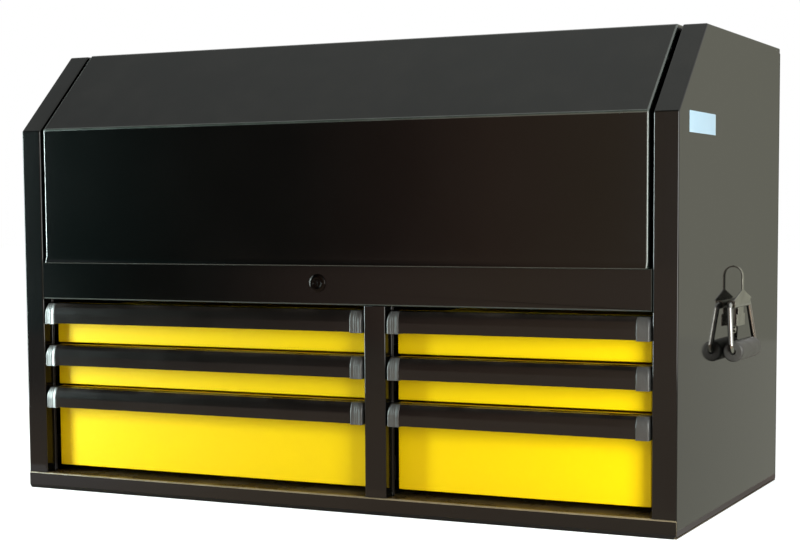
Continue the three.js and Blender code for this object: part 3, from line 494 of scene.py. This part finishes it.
# the lid's bends take the lighter paint, a painted highlight along them
sheetPiece("lid", "lidShell", "lid", [cabinetBlack, lidFoldHighlight], lidFolds,
           paintFaces=crispBack, foldSlot=1)
sheetPiece("lid_stiffener", "lidStiffener", "lid", cabinetBlack, innerFolds)
smallFolds = {"outer": 0.8 * mm, "inner": 0.4 * mm, "cut": 0.25 * mm, "sheet": 2.1 * mm}
sheetPiece("lid_catch", "lidCatch", "lid", zincPlate, smallFolds, segments=2)
print("lid is made")


columns = ("left", "right")
rows = ("top", "middle", "bottom")
frontFolds = {"outer": 1.4 * mm, "inner": 0.5 * mm, "cut": 0.3 * mm, "sheet": 1.9 * mm}
slideFolds = {"outer": 1.1 * mm, "inner": 0.4 * mm, "cut": 0.25 * mm, "sheet": 1.9 * mm}
slideLook = {"front": -224 * mm, "clipBack": -196 * mm, "depth": 8.48 * mm}


# new edges across the slides, where the clips end
def cutBehindClips(bm):
    bmesh.ops.bisect_plane(bm, geom=bm.verts[:] + bm.edges[:] + bm.faces[:],
                           plane_co=(0, slideLook["clipBack"], 0), plane_no=(0, 1, 0))


# a drawer's inner slide members are steel outside its painted pan, with a clip in front
def steelMembers(low, high):
    def paintFaces(bm):
        cutBehindClips(bm)
        for face in bm.faces:
            middle = face.calc_center_median()
            if (middle.x < low or middle.x > high) and middle.y > slideLook["front"]:
                face.material_index = 1 if middle.y > slideLook["clipBack"] else 2
    return paintFaces


# the front ends of the outer rails carry black plastic clips too
def darkEnds(bm):
    cutBehindClips(bm)
    for face in bm.faces:
        if face.calc_center_median().y < slideLook["clipBack"]:
            face.material_index = 1


barLook = {"arcRise": 17 * mm, "setBack": 5.5 * mm, "proud": 2.4 * mm, "frontY": -265.5 * mm,
           "wall": 2 * mm, "legHeight": 14 * mm, "steps": 14, "edge": 0.7 * mm, "edgeAngle": 30,
           "endGap": 3 * mm}
capLook = {"length": 18.4 * mm, "seat": 0.3 * mm, "backY": -240.8 * mm, "frontMargin": 1 * mm,
           "steps": 20, "rim": 0.16 * mm, "rimEase": 0.1 * mm, "rimWidth": 2.2 * mm,
           "rimRun": 0.5 * mm, "groove": 0.14 * mm, "grooveWidth": 0.7 * mm, "grooves": 3,
           "grooveFloor": 0.3, "grooveMouth": 0.9, "round": 0.5 * mm, "crown": 0.3 * mm,
           "cornerLow": 2.5 * mm, "cornerTop": 10 * mm, "edge": 0.4 * mm, "edgeAngle": 50}


# the front stands straight below and rolls back over its upper half
def barSection(top):
    rise, setBack = barLook["arcRise"], barLook["setBack"]
    radius = (rise * rise + setBack * setBack) / (2 * setBack)
    apex = barLook["frontY"] - barLook["proud"]
    return radius, Vector((0, apex + radius, top - rise)), math.asin(rise / radius)


# the foot of the front, its straight part and its rolled part
def startProfile(bm, low, radius, centre, half, steps):
    foot = bm.verts.new((low.x, centre.y - radius, low.z))
    start = bmesh.ops.extrude_vert_indiv(bm, verts=[foot])["verts"][0]
    start.co.z = centre.z
    bmesh.ops.spin(bm, geom=[start], cent=(low.x, centre.y, centre.z), axis=(-1, 0, 0),
                   angle=half, steps=steps)
    return foot


# an open strip of edges down the front curve, carried along X, then given its wall
def makeHandleBar(name, node, body):
    low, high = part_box(node)
    radius, centre, half = barSection(high.z)
    bm = bmesh.new()
    startProfile(bm, low, radius, centre, half, barLook["steps"])
    topVert = max(bm.verts, key=lambda v: v.co.z)
    for place in ((low.x, high.y, high.z), (low.x, high.y, high.z - barLook["legHeight"])):
        added = bmesh.ops.extrude_vert_indiv(bm, verts=[topVert])["verts"][0]
        added.co = place
        topVert = added
    grown = bmesh.ops.extrude_edge_only(bm, edges=bm.edges[:])
    moved = [g for g in grown["geom"] if isinstance(g, bmesh.types.BMVert)]
    bmesh.ops.translate(bm, verts=moved, vec=(high.x - low.x, 0, 0))
    bmesh.ops.recalc_face_normals(bm, faces=bm.faces)
    front = min(bm.faces, key=lambda f: f.calc_center_median().y)
    if front.normal.y > 0:
        bmesh.ops.reverse_faces(bm, faces=bm.faces)
    bmesh.ops.solidify(bm, geom=bm.faces[:], thickness=barLook["wall"])
    bmesh.ops.recalc_face_normals(bm, faces=bm.faces)
    smoothAll(bm)
    piece = keepPiece(name, bm, body, barBlack, [node])
    bevelEdges(piece, barLook, segments=3)
    keepFlat(piece)


# the cap's outline is swept across in stations, each with the curve pushed out or in
def capStations(width):
    look = capLook
    foot = look["grooveWidth"] * look["grooveFloor"]
    mouth = look["grooveWidth"] * look["grooveMouth"]
    fieldStart = look["rimWidth"] + look["rimRun"]
    edgeStations = [(0.0, -look["round"]), (look["round"], look["rim"] - look["rimEase"]),
                    (look["round"] * 2, look["rim"]), (look["rimWidth"], look["rim"]),
                    (fieldStart, 0.0)]
    pitch = (width - 2 * fieldStart) / (look["grooves"] + 1)
    stations = edgeStations[:]
    for index in range(look["grooves"]):
        middle = fieldStart + pitch * (index + 1)
        stations += [(middle - pitch / 2, 0.0), (middle - mouth, 0.0),
                     (middle - foot, -look["groove"]), (middle + foot, -look["groove"]),
                     (middle + mouth, 0.0)]
    stations += [(width - x, push) for x, push in reversed(edgeStations)]
    crowned = []
    for x, push in stations:
        off = (x - width / 2) / (width / 2)
        crowned.append((x, push - look["crown"] * off * off))
    return crowned


# only the points on the front move, straight back or forward
def pushCapVert(vert, push):
    if vert.co.y < capLook["backY"] - capLook["frontMargin"]:
        vert.co.y -= push


# how far up its rolled part a point lies, from 0 to 1
def heightShare(vert, centre, high):
    return max(0, min(1, (vert.co.z - centre.z) / (high.z - centre.z)))


# the outer end is rounded off, most of all at the top
def cornerPush(x, width, height, outerLow):
    radius = capLook["cornerLow"] + (capLook["cornerTop"] - capLook["cornerLow"]) * height * height
    inward = x if outerLow else width - x
    if inward >= radius:
        return 0
    return radius - math.sqrt(radius * radius - (radius - inward) ** 2)


def makeEndCap(name, node, body, outerLow):
    low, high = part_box(node)
    radius, centre, half = barSection(high.z)
    bm = bmesh.new()
    foot = startProfile(bm, low, radius, centre, half, capLook["steps"])
    corners = [bm.verts.new((low.x, capLook["backY"], z)) for z in (high.z, low.z)]
    topVert = max((v for v in bm.verts if v not in corners), key=lambda v: v.co.z)
    bm.edges.new((topVert, corners[0]))
    bm.edges.new((corners[0], corners[1]))
    bm.edges.new((corners[1], foot))
    outline = bm.edges[:]
    width = high.x - low.x
    stations = capStations(width)
    here, ring = stations[0], outline
    for vert in bm.verts:
        height = heightShare(vert, centre, high)
        pushCapVert(vert, here[1] - cornerPush(here[0], width, height, outerLow))
    bmesh.ops.contextual_create(bm, geom=outline)
    for station in stations[1:]:
        grown = bmesh.ops.extrude_edge_only(bm, edges=ring)
        verts = [g for g in grown["geom"] if isinstance(g, bmesh.types.BMVert)]
        ring = [g for g in grown["geom"]
                if isinstance(g, bmesh.types.BMEdge) and all(v in verts for v in g.verts)]
        bmesh.ops.translate(bm, verts=verts, vec=(station[0] - here[0], 0, 0))
        for vert in verts:
            height = heightShare(vert, centre, high)
            before = cornerPush(here[0], width, height, outerLow)
            after = cornerPush(station[0], width, height, outerLow)
            pushCapVert(vert, station[1] - here[1] + before - after)
        here = station
    bmesh.ops.contextual_create(bm, geom=ring)
    bmesh.ops.recalc_face_normals(bm, faces=bm.faces)
    smoothAll(bm)
    piece = keepPiece(name, bm, body, capGrey, [node])
    bevelEdges(piece, capLook, segments=3).harden_normals = True


# from the end of a bar to the outside of the painted pan behind it
panOut = capLook["length"] + capLook["seat"] + barLook["endGap"] - slideLook["depth"]
for column in columns:
    for row in rows:
        place = f"{column}_{row}"
        label = column + row.capitalize()
        body = f"{place}_drawer"
        low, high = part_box(f"handle_bar_{place}")
        sheetPiece(f"drawer_{place}", label + "Drawer", body,
                   [drawerYellow, zincPlate, clipBlack], frontFolds,
                   paintFaces=steelMembers(low.x - panOut, high.x + panOut))
        makeHandleBar(label + "Bar", f"handle_bar_{place}", body)
        for end in "lr":
            makeEndCap(label + "Cap" + end.upper(), f"end_cap_{place}_{end}", body, end == "l")
            sheetPiece(f"slide_{place}_{end}", label + "Rail" + end.upper(), "cabinet",
                       [zincPlate, clipBlack], slideFolds, segments=2,
                       paintFaces=darkEnds)
print("drawers are made")


# the profile's points are a radius and a depth behind the face, in millimetres
lockLook = {"x": -5 * mm, "z": 325.2 * mm, "faceY": -268.2 * mm, "steps": 48,
            "edge": 0.15 * mm, "edgeAngle": 50,
            "profile": [(6.4, 0.9), (6.4, 0.5), (7.0, 0.1), (8.2, 0.0), (11.0, 0.15), (12.4, 0.9),
                        (13.0, 1.7), (13.0, 2.4), (9.5, 2.4), (9.5, 28.2), (6.4, 28.2), (6.4, 0.9)]}
plugFolds = {"outer": 0.3 * mm, "inner": 0.15 * mm, "cut": 0.15 * mm, "sheet": 2.1 * mm}


# points of turned and swept pieces that lie closer than this are one
mergeGap = 0.001 * mm


# a profile of radii and places along Y, turned about a line that runs along Y
def turnedY(bm, profile, x, z, steps):
    verts = [bm.verts.new((x + radius, y, z)) for radius, y in profile]
    edges = [bm.edges.new((a, b)) for a, b in zip(verts, verts[1:])]
    bmesh.ops.spin(bm, geom=verts + edges, cent=(x, 0, z), axis=(0, 1, 0), angle=2 * math.pi,
                   steps=steps, use_merge=True)
    bmesh.ops.remove_doubles(bm, verts=bm.verts, dist=mergeGap)
    bmesh.ops.recalc_face_normals(bm, faces=bm.faces)
    smoothAll(bm)


def makeLockHousing():
    look = lockLook
    profile = [(radius * mm, look["faceY"] + depth * mm) for radius, depth in look["profile"]]
    bm = bmesh.new()
    turnedY(bm, profile, look["x"], look["z"], look["steps"])
    piece = keepPiece("lockHousing", bm, "cabinet", lockChrome, ["lock_housing"])
    bevelEdges(piece, look, segments=2)
    keepFlat(piece)


makeLockHousing()
sheetPiece("lock_plug", "lockPlug", "lock_plug", lockChrome, plugFolds, segments=2)
print("lock is made")


# the grip's end is a list of radii and how far each lies in from the end, in millimetres
handleLook = {"axisX": 528.9 * mm, "axisZ": 292.5 * mm, "middleY": 4 * mm, "rod": 3.7 * mm,
              "topHalf": 52 * mm, "lowHalf": 66 * mm, "drop": 64.5 * mm, "leanOut": 6.9 * mm,
              "topBend": 6 * mm, "lowBend": 10 * mm, "bendSteps": 7, "rodResolution": 5,
              "gripHalf": 52 * mm, "gripY": -1 * mm, "gripBore": 4.1, "gripSteps": 56,
              "gripEnd": [(11.2, 0), (12.9, 0.8), (13.9, 1.9), (14.5, 3.4), (14.5, 9)],
              "edge": 0.6 * mm, "edgeAngle": 40}
bracketFolds = {"outer": 0.5 * mm, "inner": 0.3 * mm, "cut": 0.3 * mm, "sheet": 2 * mm}


# a closed path with an arc of its own radius at every corner
def roundedPath(points, radii, steps):
    path = []
    count = len(points)
    for index, point in enumerate(points):
        before = (points[index - 1] - point).normalized()
        after = (points[(index + 1) % count] - point).normalized()
        turn = before.angle(after)
        cut = radii[index] / math.tan(turn / 2)
        start, end = point + before * cut, point + after * cut
        centre = point + (before + after).normalized() * (radii[index] / math.sin(turn / 2))
        for step in range(steps + 1):
            share = step / steps
            spot = start.lerp(end, share) - centre
            path.append(centre + spot.normalized() * radii[index])
    return path


# a round rod along the closed path, taken from a curve that is then removed
def sweptRod(path, radius, resolution):
    curve = bpy.data.curves.new("rodPath", "CURVE")
    curve.dimensions = "3D"
    curve.bevel_depth = radius
    curve.bevel_resolution = resolution
    spline = curve.splines.new("POLY")
    spline.points.add(len(path) - 1)
    for point, place in zip(spline.points, path):
        point.co = (*place, 1)
    spline.use_cyclic_u = True
    holder = bpy.data.objects.new("rodHolder", curve)
    scene.collection.objects.link(holder)
    made = holder.evaluated_get(bpy.context.evaluated_depsgraph_get())
    mesh = bpy.data.meshes.new_from_object(made)
    bm = bmesh.new()
    bm.from_mesh(mesh)
    bpy.data.objects.remove(holder)
    bpy.data.curves.remove(curve)
    bpy.data.meshes.remove(mesh)
    bmesh.ops.remove_doubles(bm, verts=bm.verts, dist=mergeGap)
    bmesh.ops.recalc_face_normals(bm, faces=bm.faces)
    smoothAll(bm)
    return bm


def makeBail(side, name, body, node):
    look = handleLook
    topX, lowX = side * look["axisX"], side * (look["axisX"] + look["leanOut"])
    lowZ = look["axisZ"] - look["drop"]
    middle = look["middleY"]
    corners = [Vector((topX, middle - look["topHalf"], look["axisZ"])),
               Vector((topX, middle + look["topHalf"], look["axisZ"])),
               Vector((lowX, middle + look["lowHalf"], lowZ)),
               Vector((lowX, middle - look["lowHalf"], lowZ))]
    path = roundedPath(corners, [look["topBend"]] * 2 + [look["lowBend"]] * 2, look["bendSteps"])
    keepPiece(name, sweptRod(path, look["rod"], look["rodResolution"]), body,
              bailChrome, [node])


def makeGrip(side, name, body, node):
    look = handleLook
    x, z = side * (look["axisX"] + look["leanOut"]), look["axisZ"] - look["drop"]
    ends = [(radius * mm, look["gripHalf"] - inward * mm)
            for radius, inward in [(look["gripBore"], 0)] + look["gripEnd"]]
    whole = ends + [(radius, -y) for radius, y in reversed(ends)] + ends[:1]
    bm = bmesh.new()
    turnedY(bm, [(radius, y + look["gripY"]) for radius, y in whole], x, z, look["gripSteps"])
    piece = keepPiece(name, bm, body, gripGrey, [node])
    bevelEdges(piece, look, segments=3)
    keepFlat(piece)


for side, hand in ((-1, "left"), (1, "right")):
    body = f"side_handle_{hand}"
    makeBail(side, hand + "Bail", body, f"side_handle_bail_{hand}")
    makeGrip(side, hand + "Grip", body, f"side_handle_grip_{hand}")
    sheetPiece(f"side_handle_bracket_{hand}", hand + "HandleBracket", "cabinet",
               handleSteel, bracketFolds, segments=2)
print("side handles are made")


turnedLook = {"edge": 0.25 * mm, "edgeAngle": 40}


# the turned pieces keep the frame's mesh, with its round faces shaded smooth
def smoothedCopy(nodeName, name, body, material):
    bm = weldedNode(nodeName)
    smoothAll(bm)
    piece = keepPiece(name, bm, body, material, [nodeName])
    bevelEdges(piece, turnedLook, segments=2)
    keepFlat(piece)


smoothedCopy("hinge_leaf_fixed", "hingeLeafFixed", "cabinet", zincPlate)
smoothedCopy("hinge_leaf_moving", "hingeLeafMoving", "lid", zincPlate)
for hand in ("left", "right"):
    smoothedCopy(f"strut_tube_{hand}", hand + "StrutTube", f"strut_tube_{hand}",
                 strutGloss)
    smoothedCopy(f"strut_rod_{hand}", hand + "StrutRod", f"strut_rod_{hand}",
                 chromePlate)
print("hinge and struts are made")


stickerLook = {"yFrom": -219.7 * mm, "yTo": -96 * mm, "zFrom": 526 * mm, "zTo": 554 * mm,
               "x": 520.5 * mm, "thick": 0.15 * mm, "corner": 1.2 * mm, "border": 3.2 * mm}


# a plain label on the right cheek, its border in a paler paper
def makeSticker():
    look = stickerLook
    width, height = look["yTo"] - look["yFrom"], look["zTo"] - look["zFrom"]
    middleY, middleZ = (look["yFrom"] + look["yTo"]) / 2, (look["zFrom"] + look["zTo"]) / 2
    bm = bmesh.new()
    bmesh.ops.create_grid(bm, x_segments=1, y_segments=1, size=0.5)
    bmesh.ops.scale(bm, vec=(width, height, 1), verts=bm.verts)
    for axis in "XZ":
        bmesh.ops.rotate(bm, matrix=Matrix.Rotation(math.radians(90), 3, axis), verts=bm.verts)
    bmesh.ops.translate(bm, verts=bm.verts, vec=(look["x"] + look["thick"], middleY, middleZ))
    bmesh.ops.bevel(bm, geom=bm.verts[:], offset=look["corner"], affect="VERTICES", segments=4,
                    profile=0.5, material=-1)
    inset = bmesh.ops.inset_region(bm, faces=bm.faces[:], thickness=look["border"],
                                   use_even_offset=True)
    rim = set(inset["faces"])
    for face in bm.faces:
        face.material_index = 1 if face in rim else 0
    if bm.faces[:][0].normal.x < 0:
        bmesh.ops.reverse_faces(bm, faces=bm.faces)
    bmesh.ops.solidify(bm, geom=bm.faces[:], thickness=look["thick"])
    bmesh.ops.recalc_face_normals(bm, faces=bm.faces)
    keepPiece("sideSticker", bm, "cabinet", [labelPaper, labelBorder])


makeSticker()
print("sticker is made")


# the floor is white to the camera but for the chest's own shadow, and plain to every other ray
def makeFloor(look):
    bm = bmesh.new()
    bmesh.ops.create_grid(bm, x_segments=1, y_segments=1, size=look["size"])
    mesh = bpy.data.meshes.new("floor")
    bm.to_mesh(mesh)
    bm.free()
    floor = bpy.data.objects.new("floor", mesh)
    scene.collection.objects.link(floor)
    material, tree, shader = newMaterial("studioFloor")
    skin = useGroup(tree, paintSkin, Peel_Size=look["peelSize"], Cloud_Size=look["cloudSize"])
    tree.links.new(mixColours(tree, rampOf(tree, skin.outputs["Gloss"], 0, 1), look["colour"],
                              look["colourTwo"]), shader.inputs["Base Color"])
    shader.inputs["Roughness"].default_value = look["rough"]
    shader.inputs["Specular IOR Level"].default_value = 0.0
    shader.inputs["Emission Color"].default_value = (*look["glow"], 1)
    path = addNode(tree, "ShaderNodeLightPath")
    lift = addNode(tree, "ShaderNodeMath", {"operation": "MULTIPLY"})
    lift.inputs[1].default_value = look["lift"]
    tree.links.new(path.outputs["Is Camera Ray"], lift.inputs[0])
    tree.links.new(lift.outputs[0], shader.inputs["Emission Strength"])
    mesh.materials.append(material)


makeFloor({"size": 14.0, "colour": (0.64, 0.62, 0.6), "colourTwo": (0.62, 0.6, 0.58), "rough": 0.9,
           "peelSize": 3.0, "cloudSize": 400.0, "glow": (0.87, 0.965, 1.0), "lift": 0.86})


# the world is white to the camera and to gloss, and softer and warmer on matt faces
def makeWorld(look):
    world = bpy.data.worlds.new("studioWorld")
    scene.world = world
    world.use_nodes = True
    tree = world.node_tree
    tree.nodes.clear()
    path = addNode(tree, "ShaderNodeLightPath")
    seen = addNode(tree, "ShaderNodeMath", {"operation": "MAXIMUM"})
    both = addNode(tree, "ShaderNodeMath", {"operation": "MAXIMUM"})
    strength = addNode(tree, "ShaderNodeMapRange", To_Min=look["ambient"], To_Max=look["seen"])
    background = addNode(tree, "ShaderNodeBackground")
    output = addNode(tree, "ShaderNodeOutputWorld")
    tree.links.new(path.outputs["Is Camera Ray"], seen.inputs[0])
    tree.links.new(path.outputs["Is Glossy Ray"], seen.inputs[1])
    tree.links.new(seen.outputs[0], both.inputs[0])
    tree.links.new(path.outputs["Is Transmission Ray"], both.inputs[1])
    tree.links.new(both.outputs[0], strength.inputs["Value"])
    tree.links.new(strength.outputs["Result"], background.inputs["Strength"])
    tree.links.new(mixColours(tree, both.outputs[0], look["ambientColour"], look["colour"]),
                   background.inputs["Color"])
    tree.links.new(background.outputs["Background"], output.inputs["Surface"])


makeWorld({"ambient": 0.45, "ambientColour": (1.0, 0.72, 0.6),
           "seen": 1.0, "colour": (1.0, 1.0, 1.0)})


# a soft light between two plan points, standing from one height to another and facing the
# chest, which gloss may mirror or not
def standingLight(name, look):
    start, end = Vector((*look["from"], 0)), Vector((*look["to"], 0))
    width, height = (end - start).length, look["high"] - look["low"]
    data = bpy.data.lights.new(name, "AREA")
    data.shape = "RECTANGLE"
    data.size, data.size_y = width, height
    data.energy = look["radiance"] * math.pi * width * height
    data.color = look["colour"]
    light = bpy.data.objects.new(name, data)
    scene.collection.objects.link(light)
    middle = (start + end) / 2
    light.location = (middle.x, middle.y, (look["low"] + look["high"]) / 2)
    facing = (end - start).cross(Vector((0, 0, 1)))
    if facing.dot(middle) > 0:
        facing = -facing
    light.rotation_euler = facing.to_track_quat("-Z", "Y").to_euler()
    light.visible_camera = False
    light.visible_glossy = look["mirrored"]


standingLight("rightLight", {"from": (0.975, -0.963), "to": (1.38, -0.735), "low": 0.0, "high": 0.7,
                             "radiance": 16.5, "colour": (0.95, 1, 1), "mirrored": False})
standingLight("leftLight", {"from": (-1.284, -0.965), "to": (-1.51, -0.84), "low": 0.0, "high": 0.7,
                            "radiance": 59.0, "colour": (0.84, 1, 1), "mirrored": True})


# a card that only gloss sees, its light laid out along X as a list of places and colours
def glossCard(name, corner, across, up, stops):
    corner, across, up = Vector(corner), Vector(across), Vector(up)
    bm = bmesh.new()
    bmesh.ops.create_grid(bm, x_segments=1, y_segments=1, size=0.5)
    for vert in bm.verts:
        vert.co = corner + across * (vert.co.x + 0.5) + up * (vert.co.y + 0.5)
    mesh = bpy.data.meshes.new(name)
    bm.to_mesh(mesh)
    bm.free()
    card = bpy.data.objects.new(name, mesh)
    scene.collection.objects.link(card)
    material = bpy.data.materials.new(name)
    material.use_nodes = True
    tree = material.node_tree
    tree.nodes.clear()
    coords = addNode(tree, "ShaderNodeTexCoord")
    split = addNode(tree, "ShaderNodeSeparateXYZ")
    first, last = stops[0][0], stops[-1][0]
    span = addNode(tree, "ShaderNodeMapRange", {"clamp": True}, From_Min=first, From_Max=last)
    ramp = addNode(tree, "ShaderNodeValToRGB")
    elements = ramp.color_ramp.elements
    elements[0].color = (*stops[0][1], 1)
    elements[1].color = (*stops[-1][1], 1)
    for place, colour in stops[1:-1]:
        elements.new((place - first) / (last - first)).color = (*colour, 1)
    glow = addNode(tree, "ShaderNodeEmission")
    output = addNode(tree, "ShaderNodeOutputMaterial")
    tree.links.new(coords.outputs["Object"], split.inputs[0])
    tree.links.new(split.outputs["X"], span.inputs["Value"])
    tree.links.new(span.outputs["Result"], ramp.inputs[0])
    tree.links.new(ramp.outputs["Color"], glow.inputs["Color"])
    tree.links.new(glow.outputs["Emission"], output.inputs["Surface"])
    mesh.materials.append(material)
    for sight in ("camera", "diffuse", "shadow", "transmission", "volume_scatter"):
        setattr(card, "visible_" + sight, False)


glossCard("frontCard", (-3.6, -3, 0), (5.2, 0, 0), (0, 0, 2.6), [
    (-3.6, (0.25, 0.3, 0.32)), (-2.9, (0.25, 0.3, 0.32)), (-2.65, (0.15, 0.22, 0.22)),
    (-2.55, (0.02, 0.08, 0.08)), (-2.0, (0.015, 0.015, 0.015)), (-1.6, (0.06, 0.045, 0.04)),
    (-1.2, (0.21, 0.12, 0.095)), (-0.9, (0.41, 0.25, 0.18)), (-0.5, (0.5, 0.35, 0.23)),
    (-0.3, (0.58, 0.45, 0.37)), (1.6, (0.6, 0.5, 0.42))])
glossCard("frontCeilingCard", (-3.6, -3, 2.6), (5.2, 0, 0), (0, 2.5, 0), [
    (-3.6, (0.03, 0.03, 0.03)), (1.6, (0.05, 0.045, 0.04))])
glossCard("overheadCard", (-3.6, -0.5, 2.6), (5.2, 0, 0), (0, 1.6, 0), [
    (-3.6, (0.36, 0.38, 0.37)), (-2.0, (0.39, 0.41, 0.4)), (0.0, (0.74, 0.77, 0.73)),
    (1.6, (0.78, 0.81, 0.77))])
glossCard("frontFloorCard", (-3.6, -3, 0.003), (5.2, 0, 0), (0, 2.7, 0), [
    (-3.6, (0.25, 0.24, 0.24)), (-1.6, (0.27, 0.22, 0.2)), (-1.1, (0.5, 0.4, 0.33)),
    (-0.4, (0.66, 0.5, 0.38)), (1.6, (0.62, 0.48, 0.38))])
glossCard("nearFloorCard", (-0.8, -0.43, 0.005), (1.6, 0, 0), (0, 0.163, 0), [
    (-0.8, (1.05, 0.97, 0.93)), (-0.5, (1.0, 0.92, 0.88)), (-0.2, (0.85, 0.68, 0.52)),
    (0.1, (0.72, 0.54, 0.4)), (0.8, (0.66, 0.55, 0.43))])
glossCard("edgeStripCard", (-3.6, -0.8, 2.55), (5.2, 0, 0), (0, 0.3, 0), [
    (-3.6, (0.8, 1.0, 1.0)), (1.6, (1.0, 1.0, 0.9))])
glossCard("frontLowCard", (-3.6, -2.98, 0), (5.2, 0, 0), (0, 0, 0.255), [
    (-3.6, (0.25, 0.3, 0.32)), (-2.9, (0.25, 0.3, 0.32)), (-2.65, (0.15, 0.22, 0.22)),
    (-2.55, (0.02, 0.08, 0.08)), (-2.2, (0.015, 0.015, 0.015)), (-1.9, (0.06, 0.045, 0.04)),
    (-1.55, (0.33, 0.22, 0.18)), (-1.2, (0.5, 0.34, 0.27)), (-0.8, (0.6, 0.42, 0.3)),
    (-0.3, (0.66, 0.48, 0.38)), (1.6, (0.66, 0.5, 0.42))])
glossCard("windowCard", (-3.3, -2.96, 0), (0.37, 0, 0), (0, 0, 1.1), [
    (-3.3, (13.0, 17.0, 17.0)), (-2.8, (13.0, 17.0, 17.0))])
glossCard("leftWallCard", (-3.3, -2.9, 0.0), (0, 2.5, 0), (0, 0, 2.2), [
    (-3.4, (5.4, 6.4, 6.4)), (-3.2, (5.4, 6.4, 6.4))])
glossCard("rightWallCard", (2.3, -2.2, 0.0), (0, 1.4, 0), (0, 0, 1.4), [
    (2.2, (9.0, 9.0, 8.6)), (2.4, (9.0, 9.0, 8.6))])
glossCard("sideFloorCard", (0.53, -0.3, 0.004), (2.4, 0, 0), (0, 3.3, 0), [
    (0.53, (0.49, 0.49, 0.41)), (2.93, (0.52, 0.52, 0.44))])
glossCard("sideCard", (0.5, 3, 0), (2.2, 0, 0), (0, 0, 1.6), [
    (0.5, (0.4, 0.4, 0.32)), (1.17, (0.42, 0.42, 0.34)), (1.5, (0.55, 0.55, 0.45)),
    (2.7, (0.6, 0.6, 0.5))])


# the camera that the photograph's perspective was solved to
def makeCamera(look):
    data = bpy.data.cameras.new("photoCamera")
    camera = bpy.data.objects.new("photoCamera", data)
    scene.collection.objects.link(camera)
    data.sensor_width = look["sensor"]
    data.lens = look["lens"]
    data.shift_x, data.shift_y = look["shift"]
    data.clip_end = look["far"]
    camera.location = look["place"]
    camera.rotation_euler = [math.radians(turn) for turn in look["turns"]]
    scene.camera = camera


makeCamera({"sensor": 36, "lens": 75.636, "shift": (-0.010375, 0.08275), "far": 100,
            "place": (1.1454, -2.3471, 0.4269), "turns": (85.3809, 0.3409, 25.8185)})
scene.view_settings.view_transform = "Standard"
print("studio is ready")
